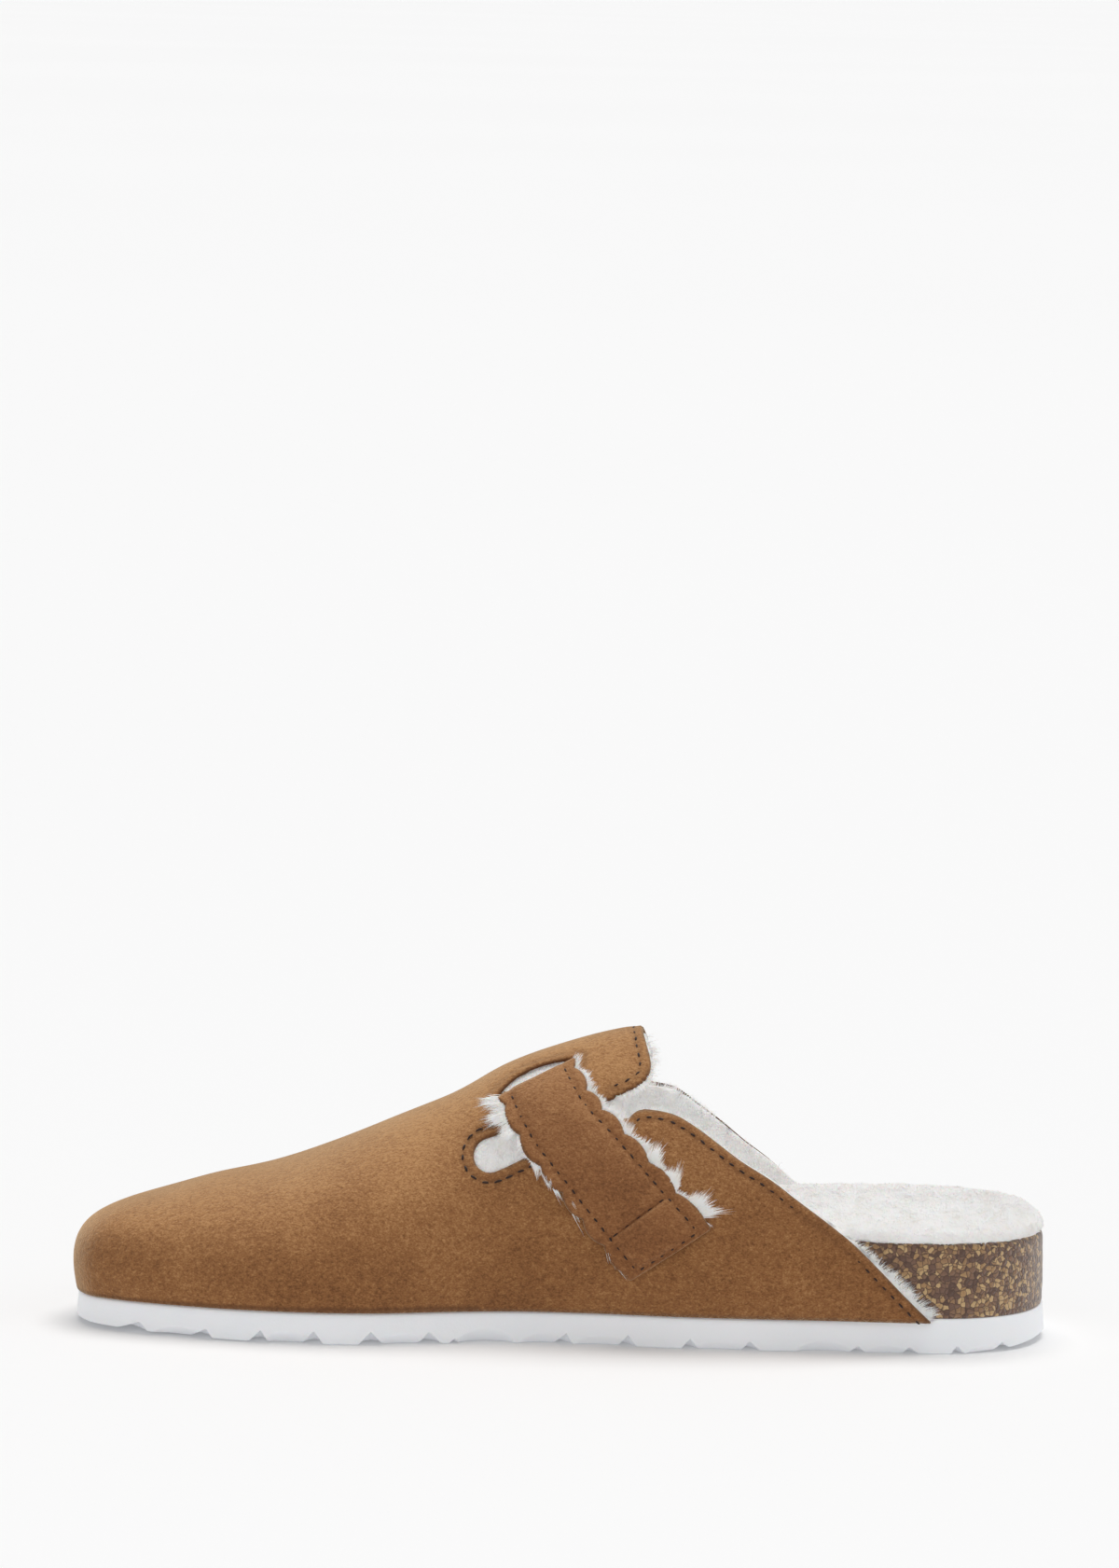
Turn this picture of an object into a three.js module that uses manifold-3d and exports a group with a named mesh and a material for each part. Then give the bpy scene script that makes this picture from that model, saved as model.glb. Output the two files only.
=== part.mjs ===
// Clog slipper for the right foot: a backless suede upper with a scalloped strap through two slots
// in its tongue, on a moulded cork footbed with a fleece insole and a light, grooved outsole.
// Millimetres, +Z up. The toe points to -X and the heel to +X; -Y is the inner (medial) side.
// All shapes are worked out in a frame of their own, with x = 0 at the toe tip, and the whole
// shoe is then centred on its box, with the floor at z = 0.
import * as THREE from "three";
import { mergeVertices } from "three/addons/utils/BufferGeometryUtils.js";
import Module from "manifold-3d";

const wasm = await Module();
wasm.setup();

// Driving dimensions
const LENGTH = 264; // what the tables' shares along are of; the outsole is 1 mm shorter
const BALL_WIDTH = 95; // outsole across the ball
const HEEL_WIDTH = 67.5; // outsole across the heel
const OUTSOLE_HEIGHT = 9.4; // floor to the footbed's seat
const REBATE_DEPTH = 1.1; // the upper's edge sits this much lower than the footbed
const OUTSOLE_FLARE = 0.7; // the outsole's side leans out this much towards the floor
const TOE_SPRING = 1.6; // rise of the tread at the toe tip
const HEEL_BEVEL = 2.4; // rise of the tread at the back of the heel
const GROOVE_DEPTH = 3.4;
const GROOVE_WIDTH = 7.4;
const GROOVE_WAVE = 2.6; // how far a groove swings to and fro on its way across
const GROOVE_WAVE_PITCH = 34; // across the sole
const INSTEP_HEIGHT = 81.5; // floor to the top of the tongue's rear edge
const HEEL_RIM_HEIGHT = 29.6; // floor to the cork's rim
const HEEL_CUP_DEPTH = 8.4;
const FOREFOOT_BED_HEIGHT = 14.6; // floor to the cork under the ball
const ARCH_RISE = 2.0; // the inner rim at the arch above the heel's rim
const INSOLE_THICKNESS = 4.6; // fleece and its backing
const INSOLE_EDGE = 2.4; // rounding of the insole's upper edge
const UPPER_WALL = 2.4;
const STRAP_THICKNESS = 1.8;
const STRAP_LOW_WIDTH = 24.6; // at its sewn ends
const STRAP_TOP_WIDTH = 19.4; // where it passes through the tongue
const STRAP_SKEW = 3; // how far a sewn end's rear corner lies past its middle, and its front one short
const SCALLOP_PITCH = 9.4;
const SCALLOP_DEPTH = 1.5;
const SLOT_ROOM = 1.1; // free height over the strap in its slot
const SLOT_END_ROOM = 1.0; // free length at each end of the slot
const SLIT_WIDTH = 5.6; // between tongue and quarter, under the strap
const KEYHOLE_RADIUS = 4.4; // the slit's round front end
const COLLAR_MARGIN = INSTEP_HEIGHT / 2; // how far the cutters run past the shoe
const GAP = 0.3; // between pieces that meet
const SHARED = 0.05; // the collar's two halves share this much at the ridge
const BRIDGE_GAP = 0.6; // between the tongue and the strap under it

const FOOTBED_INSET_FRONT = 2.0; // from the outsole's edge, where the upper's wall stands outside
const FOOTBED_INSET_HEEL = 0.4;
const UPPER_SEAT = OUTSOLE_HEIGHT - REBATE_DEPTH + GAP;

// The outline: shares of the length, and of the width there, to the inner and outer side.
const OUTLINE = [
  { along: 0.9975, inner: 0.004, outer: 0.004 },
  { along: 0.99, inner: -0.171, outer: 0.175 },
  { along: 0.97, inner: -0.321, outer: 0.325 },
  { along: 0.936, inner: -0.433, outer: 0.437 },
  { along: 0.895, inner: -0.489, outer: 0.495 },
  { along: 0.84, inner: -0.5, outer: 0.51 },
  { along: 0.77, inner: -0.498, outer: 0.512 },
  { along: 0.7, inner: -0.485, outer: 0.511 },
  { along: 0.62, inner: -0.442, outer: 0.503 },
  { along: 0.54, inner: -0.38, outer: 0.497 },
  { along: 0.46, inner: -0.352, outer: 0.503 },
  { along: 0.39, inner: -0.372, outer: 0.516 },
  { along: 0.31, inner: -0.424, outer: 0.528 },
  { along: 0.235, inner: -0.434, outer: 0.512 },
  { along: 0.165, inner: -0.409, outer: 0.45 },
  { along: 0.1, inner: -0.36, outer: 0.355 },
  { along: 0.052, inner: -0.305, outer: 0.228 },
  { along: 0.0195, inner: -0.236, outer: 0.07 },
  { along: 0.006, inner: -0.095, outer: -0.095 },
];

// The last: the ridge's height as a share of the instep height, its side shift as a share of the
// ball width, and each side's curve: how high it stands up before it turns in (rise), how far it
// leans out on the way, as a share of the ball width (lean), and how flat its top is (reach).
const LAST = [
  { along: 0.0, ridge: 0.353, shift: -0.12, rise: 0.72, lean: 0.045, reach: 0.8 },
  { along: 0.08, ridge: 0.421, shift: -0.1, rise: 0.62, lean: 0.03, reach: 0.72 },
  { along: 0.14, ridge: 0.474, shift: -0.07, rise: 0.61, lean: 0.028, reach: 0.62 },
  { along: 0.2, ridge: 0.523, shift: -0.045, rise: 0.6, lean: 0.03, reach: 0.58 },
  { along: 0.26, ridge: 0.594, shift: -0.03, rise: 0.58, lean: 0.034, reach: 0.56 },
  { along: 0.32, ridge: 0.675, shift: -0.02, rise: 0.56, lean: 0.04, reach: 0.54 },
  { along: 0.38, ridge: 0.762, shift: -0.012, rise: 0.53, lean: 0.05, reach: 0.52 },
  { along: 0.44, ridge: 0.87, shift: -0.006, rise: 0.5, lean: 0.062, reach: 0.5 },
  { along: 0.5, ridge: 0.945, shift: 0.0, rise: 0.48, lean: 0.074, reach: 0.5 },
  { along: 0.56, ridge: 0.999, shift: 0.004, rise: 0.46, lean: 0.08, reach: 0.48 },
  { along: 0.6, ridge: 1.01, shift: 0.006, rise: 0.45, lean: 0.085, reach: 0.46 },
  { along: 0.7, ridge: 1.03, shift: 0.01, rise: 0.44, lean: 0.095, reach: 0.44 },
  { along: 0.85, ridge: 1.05, shift: 0.01, rise: 0.42, lean: 0.105, reach: 0.44 },
  { along: 1.0, ridge: 1.06, shift: 0.01, rise: 0.42, lean: 0.105, reach: 0.44 },
];

// The footbed: how far its bed has risen from the forefoot's to the heel's, and each rim to the
// heel rim's height.
const FOOTBED = [
  { along: 0.0, bed: 0.045, innerRim: 0.2, outerRim: 0.2 },
  { along: 0.15, bed: 0.0, innerRim: 0.2, outerRim: 0.2 },
  { along: 0.32, bed: 0.045, innerRim: 0.24, outerRim: 0.22 },
  { along: 0.42, bed: 0.32, innerRim: 0.5, outerRim: 0.34 },
  { along: 0.55, bed: 0.82, innerRim: 0.9, outerRim: 0.62 },
  { along: 0.68, bed: 0.955, innerRim: 1.0, outerRim: 0.88 },
  { along: 0.8, bed: 1.0, innerRim: 1.0, outerRim: 1.0 },
  { along: 1.0, bed: 1.0, innerRim: 1.0, outerRim: 1.0 },
];

// Edge of the collar seen from the side, from the top of the tongue down to the slit and then,
// from the quarter's top corner, back to the outsole: shares of length and of instep height.
const TONGUE_EDGE = [
  { along: 0.5765, height: 1.035 },
  { along: 0.5785, height: 1.0 },
  { along: 0.5835, height: 0.953 },
  { along: 0.587, height: 0.905 },
  { along: 0.5825, height: 0.864 },
  { along: 0.568, height: 0.831 },
  { along: 0.55, height: 0.806 },
];
const QUARTER_EDGE = {
  inner: [
    { along: 0.5645, height: 0.742 },
    { along: 0.574, height: 0.767 },
    { along: 0.587, height: 0.772 },
    { along: 0.611, height: 0.76 },
    { along: 0.631, height: 0.728 },
    { along: 0.651, height: 0.686 },
    { along: 0.679, height: 0.623 },
    { along: 0.711, height: 0.563 },
    { along: 0.739, height: 0.498 },
    { along: 0.7715, height: 0.424 },
    { along: 0.796, height: 0.363 },
    { along: 0.82, height: 0.289 },
    { along: 0.8445, height: 0.207 },
    { along: 0.876, height: 0.105 },
  ],
  outer: [
    { along: 0.5645, height: 0.742 },
    { along: 0.574, height: 0.767 },
    { along: 0.587, height: 0.774 },
    { along: 0.605, height: 0.768 },
    { along: 0.62, height: 0.748 },
    { along: 0.639, height: 0.7 },
    { along: 0.665, height: 0.634 },
    { along: 0.6885, height: 0.569 },
    { along: 0.7145, height: 0.505 },
    { along: 0.736, height: 0.442 },
    { along: 0.76, height: 0.373 },
    { along: 0.79, height: 0.286 },
    { along: 0.82, height: 0.193 },
    { along: 0.848, height: 0.105 },
  ],
};
const KEYHOLE = { along: 0.424, height: 0.613 }; // centre of the slit's round front end

// The strap's middle line from the tongue's middle (run 0) to a sewn end (run 1): where it lies
// along the shoe and how far round from the ridge (0) to the upper's lower edge (1).
const STRAP = [
  { run: 0.0, along: 0.4655, girth: 0.0 },
  { run: 0.16, along: 0.472, girth: 0.156 },
  { run: 0.39, along: 0.4965, girth: 0.361 },
  { run: 0.62, along: 0.535, girth: 0.533 },
  { run: 0.82, along: 0.572, girth: 0.677 },
  { run: 1.0, along: 0.6085, girth: 0.8 },
];
const SLOT_RUN = 0.17; // where the strap passes through the tongue
const SLOT_SLOPE = 0.9; // the strap's drop through the slot, per length
const STRAP_STRETCH = 0.95; // the strap's length to a sewn end, per half girth

// Where the tread's grooves meet the inner edge, as shares of the length. They are a shorter step
// apart under the heel, and wider under the waist.
const GROOVES = [
  0.079, 0.139, 0.198, 0.253, 0.31, 0.37, 0.424, 0.511, 0.574, 0.635, 0.694, 0.76, 0.807, 0.856,
  0.908, 0.966,
];

// Resolution
const STATIONS = 34;
const RIB_STEPS = 14;
const RIB_SAMPLES = 40;
const BED_STEPS = 4;
const STRAP_STEPS = 96;
const STRAP_ACROSS = 3;
const GROOVE_STEPS = 10;
const SLOT_STEPS = 6; // of the strap's steps, each way from the middle of the slot

const clamp01 = (t) => Math.min(1, Math.max(0, t));
const mix = (a, b, t) => a + (b - a) * t;
const smooth = (t) => clamp01(t) ** 2 * (3 - 2 * clamp01(t));

// One column of a table at a place along the shoe, by a smooth curve through the rows.
function column(table, key, at, name) {
  const rows = [...table].sort((a, b) => a[key] - b[key]);
  const last = rows.length - 1;
  if (at <= rows[0][key]) return rows[0][name];
  if (at >= rows[last][key]) return rows[last][name];
  const i = rows.findIndex((row) => row[key] > at) - 1;
  const slope = (j) => {
    const a = rows[Math.max(0, j - 1)];
    const b = rows[Math.min(last, j + 1)];
    return (b[name] - a[name]) / (b[key] - a[key]);
  };
  const step = rows[i + 1][key] - rows[i][key];
  const t = (at - rows[i][key]) / step;
  const [t2, t3] = [t * t, t * t * t];
  return (
    (2 * t3 - 3 * t2 + 1) * rows[i][name] +
    (t3 - 2 * t2 + t) * step * slope(i) +
    (3 * t2 - 2 * t3) * rows[i + 1][name] +
    (t3 - t2) * step * slope(i + 1)
  );
}

const widthAt = (along) => mix(BALL_WIDTH, HEEL_WIDTH, smooth((along - 0.34) / 0.48));

// The outline is one closed curve: heel tip, inner side, toe tip, outer side.
const outlinePoint = (row, side) =>
  new THREE.Vector3(row.along * LENGTH, row[side] * widthAt(row.along), 0);
const outlineCurve = new THREE.CatmullRomCurve3(
  [
    ...OUTLINE.map((row) => outlinePoint(row, "inner")),
    ...OUTLINE.slice(1, -1)
      .reverse()
      .map((row) => outlinePoint(row, "outer")),
  ],
  true,
  "catmullrom",
);

// A point of the outline, u from 0 at the heel tip to 1 at the toe tip, moved out by grow.
function outline(u, side, grow = 0) {
  const t = side === "inner" ? u / 2 : (1 - u / 2) % 1;
  const p = outlineCurve.getPoint(t);
  const along = outlineCurve.getTangent(t);
  return new THREE.Vector3(p.x - along.y * grow, p.y + along.x * grow, 0);
}

const footbedInset = (x) =>
  mix(FOOTBED_INSET_FRONT, FOOTBED_INSET_HEEL, smooth((x / LENGTH - 0.7) / 0.18));

// The middle line that the ribs of both sides meet on: the outline's x, held off the two ends.
function middleX(x, front, back) {
  const soft = 6;
  const held = front + soft * Math.log1p(Math.exp((x - front) / soft));
  return back - soft * Math.log1p(Math.exp((back - held) / soft));
}
const UPPER_FRONT = LENGTH * 0.08;
const NO_BACK = LENGTH * 3;
const BED_FRONT = LENGTH * 0.12;
const BED_BACK = LENGTH * 0.87;

// The ridge of the upper at x.
function ridge(x) {
  const along = x / LENGTH;
  return new THREE.Vector3(
    x,
    column(LAST, "along", along, "shift") * BALL_WIDTH,
    column(LAST, "along", along, "ridge") * INSTEP_HEIGHT,
  );
}

// One rib of the upper's outer face: a Bezier curve from the edge on the outsole, up, and in to
// the ridge, which it meets level across and with the ridge's own slope along.
function ribCurve(u, side) {
  const edge = outline(u, side);
  const base = outline(u, side, UPPER_WALL + GAP - footbedInset(edge.x)).setZ(UPPER_SEAT);
  const along = clamp01(edge.x / LENGTH);
  const top = ridge(middleX(base.x, UPPER_FRONT, NO_BACK));
  const step = LENGTH * 0.01;
  const slope = (ridge(top.x + step).z - ridge(top.x - step).z) / (2 * step);
  const inward = top.clone().sub(base).setZ(0);
  const width = inward.length();
  inward.normalize();
  const shape = (name) => column(LAST, "along", along, name);
  const low = base
    .clone()
    .addScaledVector(inward, -shape("lean") * BALL_WIDTH)
    .setZ(base.z + shape("rise") * (top.z - base.z));
  const high = top.clone().addScaledVector(inward, -shape("reach") * width);
  high.z -= shape("reach") * width * slope * inward.x;
  return new THREE.CubicBezierCurve3(base, low, high, top);
}

// The rib as points evenly spaced along it: t = 0 at the outsole, t = 1 at the ridge.
function ribPoints(u, side, count) {
  const curve = ribCurve(u, side);
  curve.arcLengthDivisions = RIB_SAMPLES;
  return curve.getSpacedPoints(count);
}

// A row of the upper's outer face, from the inner edge over the ridge to the outer edge.
function upperRow(u, steps) {
  const inner = ribPoints(u, "inner", steps);
  const outer = ribPoints(u, "outer", steps).reverse();
  return [...inner, ...outer.slice(1)];
}

// Rows moved inwards by depth along the face's own normals.
function offsetRows(rows, depth) {
  const last = rows.length - 1;
  const normalAt = (i, j) => {
    const row = rows[i];
    const across = row[Math.min(row.length - 1, j + 1)].clone().sub(row[Math.max(0, j - 1)]);
    const next = rows[Math.min(last, i + 1)][j].clone().sub(rows[Math.max(0, i - 1)][j]);
    return across.cross(next).normalize();
  };
  return rows.map((row, i) =>
    row.map((p, j) => {
      const n = normalAt(i, j);
      if (i === last) n.add(normalAt(i, row.length - 1 - j)).normalize();
      return p.clone().addScaledVector(n, -depth);
    }),
  );
}

const stationsFrom = (first, count) =>
  Array.from({ length: count + 1 }, (_, i) => mix(first, 1, i / count));
const UPPER_U_REAR = 3.5 / (OUTLINE.length - 1);

// A closed solid between two sheets of rows. Rows run from the inner edge to the outer edge, and
// the last row is folded on itself at the toe. The first row is folded too, unless it is capped.
function solidBetween(top, bottom, capFirst) {
  const across = top[0].length;
  const points = [...top.flat(), ...bottom.flat()];
  const at = (sheet, i, j) => sheet * top.length * across + i * across + j;
  const faces = [];
  const quad = (a, b, c, d) => faces.push([a, b, c], [a, c, d]);
  for (let i = 0; i + 1 < top.length; i++) {
    for (let j = 0; j + 1 < across; j++) {
      quad(at(0, i, j), at(0, i + 1, j), at(0, i + 1, j + 1), at(0, i, j + 1));
      quad(at(1, i, j), at(1, i, j + 1), at(1, i + 1, j + 1), at(1, i + 1, j));
    }
    quad(at(1, i, 0), at(1, i + 1, 0), at(0, i + 1, 0), at(0, i, 0));
    const e = across - 1;
    quad(at(0, i, e), at(0, i + 1, e), at(1, i + 1, e), at(1, i, e));
  }
  if (capFirst)
    for (let j = 0; j + 1 < across; j++)
      quad(at(1, 0, j), at(0, 0, j), at(0, 0, j + 1), at(1, 0, j + 1));
  return manifoldOf(points, faces);
}

// Points and faces as a manifold-3d solid, turned to face outwards.
function manifoldOf(points, faces) {
  const geometry = new THREE.BufferGeometry().setFromPoints(points);
  geometry.setIndex(faces.flat());
  const merged = mergeVertices(geometry, 1e-4);
  const index = merged.index.array;
  const kept = [];
  for (let i = 0; i < index.length; i += 3) {
    const [a, b, c] = [index[i], index[i + 1], index[i + 2]];
    if (a !== b && b !== c && c !== a) kept.push(a, b, c);
  }
  const positions = new Float32Array(merged.attributes.position.array);
  const build = (triangles) =>
    new wasm.Manifold(
      new wasm.Mesh({
        numProp: 3,
        vertProperties: positions,
        triVerts: new Uint32Array(triangles),
      }),
    );
  const made = build(kept);
  if (made.volume() > 0) return made;
  for (let i = 0; i < kept.length; i += 3) [kept[i + 1], kept[i + 2]] = [kept[i + 2], kept[i + 1]];
  return build(kept);
}

// A prism along Y from an outline of [x, z] pairs.
function prismAcross(pairs, fromY, toY) {
  const shape = new THREE.Shape(pairs.map(([x, z]) => new THREE.Vector2(x, z)));
  const geometry = new THREE.ExtrudeGeometry(shape, { depth: toY - fromY, bevelEnabled: false });
  geometry.rotateX(Math.PI / 2).translate(0, toY, 0);
  geometry.deleteAttribute("normal");
  geometry.deleteAttribute("uv");
  const merged = mergeVertices(geometry, 1e-4);
  const positions = merged.attributes.position;
  const points = Array.from({ length: positions.count }, (_, i) =>
    new THREE.Vector3().fromBufferAttribute(positions, i),
  );
  const index = Array.from(merged.index.array);
  const faces = [];
  for (let i = 0; i < index.length; i += 3) faces.push(index.slice(i, i + 3));
  return manifoldOf(points, faces);
}

// The collar opening of one side, seen from that side: open above and behind the edge, with the
// slit that runs forward under the strap to its keyhole.
function collarOpening(side) {
  const place = (row) => new THREE.Vector2(row.along * LENGTH, row.height * INSTEP_HEIGHT);
  const smoothLine = (rows, steps) => new THREE.SplineCurve(rows.map(place)).getPoints(steps);
  const tongue = smoothLine(TONGUE_EDGE, 16);
  const quarter = smoothLine(QUARTER_EDGE[side], 34);
  const centre = place(KEYHOLE);
  const mouth = tongue.at(-1).clone().add(quarter[0]).multiplyScalar(0.5);
  const run = mouth.clone().sub(centre);
  const axis = run.clone().normalize();
  const up = new THREE.Vector2(-axis.y, axis.x);
  const at = (ahead, above) =>
    centre.clone().addScaledVector(axis, ahead).addScaledVector(up, above);
  const halfAt = (share) => mix(KEYHOLE_RADIUS, SLIT_WIDTH / 2, smooth(share * 2));
  const shares = [0.1, 0.2, 0.3, 0.4, 0.5, 0.8];
  const lower = shares.map((share) => at(share * run.length(), -halfAt(share)));
  const higher = shares.map((share) => at(share * run.length(), halfAt(share))).reverse();
  const round = Array.from({ length: 13 }, (_, i) => {
    const turn = Math.PI * mix(0.5, 1.5, i / 12);
    return at(Math.cos(turn) * KEYHOLE_RADIUS, Math.sin(turn) * KEYHOLE_RADIUS);
  });
  const far = LENGTH + COLLAR_MARGIN;
  const ceiling = INSTEP_HEIGHT + COLLAR_MARGIN;
  const pairs = [
    ...[...tongue, ...higher, ...round, ...lower, ...quarter].map((p) => [p.x, p.y]),
    [quarter.at(-1).x, -COLLAR_MARGIN],
    [far, -COLLAR_MARGIN],
    [far, ceiling],
    [tongue[0].x, ceiling],
  ];
  const split = column(LAST, "along", TONGUE_EDGE[0].along, "shift") * BALL_WIDTH;
  return side === "inner"
    ? prismAcross(pairs, -BALL_WIDTH, split + SHARED)
    : prismAcross(pairs, split - SHARED, BALL_WIDTH);
}

// The inside of the upper's wall, with the given wall, open below.
function upperInside(rows, wall) {
  const inside = offsetRows(rows, wall);
  const floor = inside.map((row) =>
    row.map((_, j) => {
      const edge = j < row.length / 2 ? row[0] : row.at(-1);
      const share = Math.abs(j / (row.length - 1) - 0.5) * 2;
      const middle = row[0].clone().add(row.at(-1)).multiplyScalar(0.5);
      return middle.lerp(edge, share).setZ(-OUTSOLE_HEIGHT);
    }),
  );
  return solidBetween(inside, floor, true);
}

const upperRows = stationsFrom(UPPER_U_REAR, STATIONS).map((u) => upperRow(u, RIB_STEPS));
const upperFloor = upperRows.map((row) =>
  row.map((p, j) => {
    const share = j / (row.length - 1);
    return row[0].clone().lerp(row.at(-1), share).setZ(UPPER_SEAT);
  }),
);
const upperFull = solidBetween(upperRows, upperFloor, true);
const collar = collarOpening("inner").add(collarOpening("outer"));
const collarBehindWall = collar.translate([GAP * 1.5, 0, 0]); // leaves room past the wall's edge

// A point on the upper's outer face at a place along the shoe and round its girth (-1 inner edge,
// 0 ridge, 1 outer edge), raised by lift. The rib is found by the ridge's own x.
function onUpper(along, girth, lift) {
  const find = (side, x) => {
    let [low, high] = [0, 1];
    for (let i = 0; i < 24; i++) {
      const u = (low + high) / 2;
      if (outline(u, side).x > x) low = u;
      else high = u;
    }
    return low;
  };
  const at = (x, g) => {
    const side = g < 0 ? "inner" : "outer";
    const curve = ribCurve(find(side, x), side);
    curve.arcLengthDivisions = RIB_SAMPLES;
    return curve.getPointAt(clamp01(1 - Math.abs(g)));
  };
  const x = along * LENGTH;
  const d = 0.01;
  const across = at(x, girth + d).sub(at(x, girth - d));
  const back = at(x + d * LENGTH, girth).sub(at(x - d * LENGTH, girth));
  const normal = back.cross(across).normalize();
  return at(x, girth).addScaledVector(normal, lift);
}

// A point of the strap's middle line; run is below zero on the inner side.
function strapMiddle(run) {
  const side = run < 0 ? -1 : 1;
  return {
    along: column(STRAP, "run", Math.abs(run), "along"),
    girth: side * column(STRAP, "run", Math.abs(run), "girth"),
  };
}

// The strap as a solid band on the upper, through both slots and under the tongue between them.
// above, below and wide grow it, for the cutter that makes the slots.
function strapBand({ from, to, steps, below, above, wide, scalloped }) {
  const outside = GAP * 1.5 + STRAP_THICKNESS / 2;
  const inside = -(UPPER_WALL + BRIDGE_GAP + STRAP_THICKNESS / 2);
  const halfGirth = ribCurve(0.55, "inner").getLength();
  const length = halfGirth * STRAP_STRETCH;
  const pass = (outside - inside) / SLOT_SLOPE / length;
  const lower = [];
  const upper = [];
  for (let i = 0; i <= steps; i++) {
    const run = mix(from, to, i / steps);
    const reach = Math.abs(run);
    const [before, middle, after] = [-0.02, 0, 0.02].map((step) => strapMiddle(run + step));
    const heading = new THREE.Vector2(
      (after.along - before.along) * LENGTH,
      (after.girth - before.girth) * halfGirth,
    ).normalize();
    const flare = smooth((reach - SLOT_RUN) / (1 - SLOT_RUN));
    const half = mix(STRAP_TOP_WIDTH, STRAP_LOW_WIDTH, flare) / 2 + wide;
    const turn = (Math.PI * (1 - reach) * length) / SCALLOP_PITCH;
    const wave = scalloped ? SCALLOP_DEPTH * (Math.abs(Math.sin(turn)) - 1) : 0;
    const lift = mix(inside, outside, smooth((reach - SLOT_RUN) / pass + 0.5));
    const skew = Math.sign(run) * STRAP_SKEW * smooth((reach - 0.55) / 0.45);
    const rowLow = [];
    const rowHigh = [];
    for (let k = 0; k <= STRAP_ACROSS; k++) {
      const share = (k / STRAP_ACROSS) * 2 - 1;
      const off = (half + wave) * share;
      const ahead = skew * share;
      const along = middle.along + (off * heading.y + ahead * heading.x) / LENGTH;
      const girth = middle.girth + (ahead * heading.y - off * heading.x) / halfGirth;
      rowLow.push(onUpper(along, girth, lift - STRAP_THICKNESS / 2 - below));
      rowHigh.push(onUpper(along, girth, lift + STRAP_THICKNESS / 2 + above));
    }
    lower.push(rowLow);
    upper.push(rowHigh);
  }
  const points = [...upper.flat(), ...lower.flat()];
  const w = STRAP_ACROSS + 1;
  const at = (sheet, i, k) => (sheet * (steps + 1) + i) * w + k;
  const faces = [];
  const quad = (a, b, c, d) => faces.push([a, b, c], [a, c, d]);
  for (let i = 0; i < steps; i++) {
    for (let k = 0; k < STRAP_ACROSS; k++) {
      quad(at(0, i, k), at(0, i, k + 1), at(0, i + 1, k + 1), at(0, i + 1, k));
      quad(at(1, i, k), at(1, i + 1, k), at(1, i + 1, k + 1), at(1, i, k + 1));
    }
    quad(at(1, i, 0), at(0, i, 0), at(0, i + 1, 0), at(1, i + 1, 0));
    const e = STRAP_ACROSS;
    quad(at(0, i, e), at(1, i, e), at(1, i + 1, e), at(0, i + 1, e));
  }
  for (let k = 0; k < STRAP_ACROSS; k++) {
    quad(at(1, 0, k), at(1, 0, k + 1), at(0, 0, k + 1), at(0, 0, k));
    quad(at(0, steps, k), at(0, steps, k + 1), at(1, steps, k + 1), at(1, steps, k));
  }
  return manifoldOf(points, faces);
}

function makeStrap() {
  return strapBand({
    from: -1,
    to: 1,
    steps: STRAP_STEPS,
    below: 0,
    above: 0,
    wide: 0,
    scalloped: true,
  });
}

// The strap's way through the tongue on one side, with room over it and at its ends.
function slotCutter(sign) {
  const step = 2 / STRAP_STEPS;
  const middle = Math.round(SLOT_RUN / step);
  return strapBand({
    from: sign * (middle - SLOT_STEPS) * step,
    to: sign * (middle + SLOT_STEPS) * step,
    steps: 2 * SLOT_STEPS,
    below: GAP,
    above: SLOT_ROOM,
    wide: SLOT_END_ROOM,
    scalloped: false,
  });
}

function makeUpper() {
  let shell = upperFull.subtract(upperInside(upperRows, UPPER_WALL));
  for (const cutter of [collar, slotCutter(-1), slotCutter(1)]) shell = shell.subtract(cutter);
  return shell.decompose().sort((a, b) => b.volume() - a.volume())[0];
}

// The room that the upper's wall takes, with a gap inside it.
function wallRoom() {
  return upperFull.subtract(upperInside(upperRows, UPPER_WALL + GAP)).subtract(collarBehindWall);
}

// Rows of a sheet over the outline, drawn in by inset, with its height from a function of the
// place along, the side and the share of the way from the middle (0) to the edge (1).
function sheetRows(steps, insetAt, heightAt) {
  return stationsFrom(0, STATIONS).map((u) => {
    const half = (side) =>
      Array.from({ length: steps + 1 }, (_, k) => {
        const share = 1 - k / steps;
        const raw = outline(u, side);
        const edge = outline(u, side, -insetAt(raw.x));
        const between = (outline(u, "inner").x + outline(u, "outer").x) / 2;
        const x = middleX(between, BED_FRONT, BED_BACK);
        const y = column(LAST, "along", x / LENGTH, "shift") * BALL_WIDTH;
        const middle = new THREE.Vector3(x, y, 0);
        const p = middle.lerp(edge, share);
        return p.setZ(heightAt(p.x, side, share));
      });
    const inner = half("inner");
    const outer = u > 0 && u < 1 ? half("outer") : [...inner];
    return [...inner, ...outer.reverse().slice(1)];
  });
}

// Height of the cork's top: a cup that rises to its rim at the edge.
function bedHeight(x, side, share) {
  const along = clamp01(x / LENGTH);
  const span = HEEL_RIM_HEIGHT - FOREFOOT_BED_HEIGHT;
  const heelBed = span - HEEL_CUP_DEPTH;
  const bed = FOREFOOT_BED_HEIGHT + column(FOOTBED, "along", along, "bed") * heelBed;
  const rimName = side === "inner" ? "innerRim" : "outerRim";
  const arch = side === "inner" ? ARCH_RISE * Math.exp(-(((along - 0.66) / 0.1) ** 2)) : 0;
  const rim = FOREFOOT_BED_HEIGHT + column(FOOTBED, "along", along, rimName) * span + arch;
  return mix(bed, rim, share ** 3);
}

function makeFootbed(room) {
  const top = sheetRows(BED_STEPS, footbedInset, bedHeight);
  const bottom = sheetRows(BED_STEPS, footbedInset, () => OUTSOLE_HEIGHT + GAP);
  return solidBetween(top, bottom, false).subtract(room);
}

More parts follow.
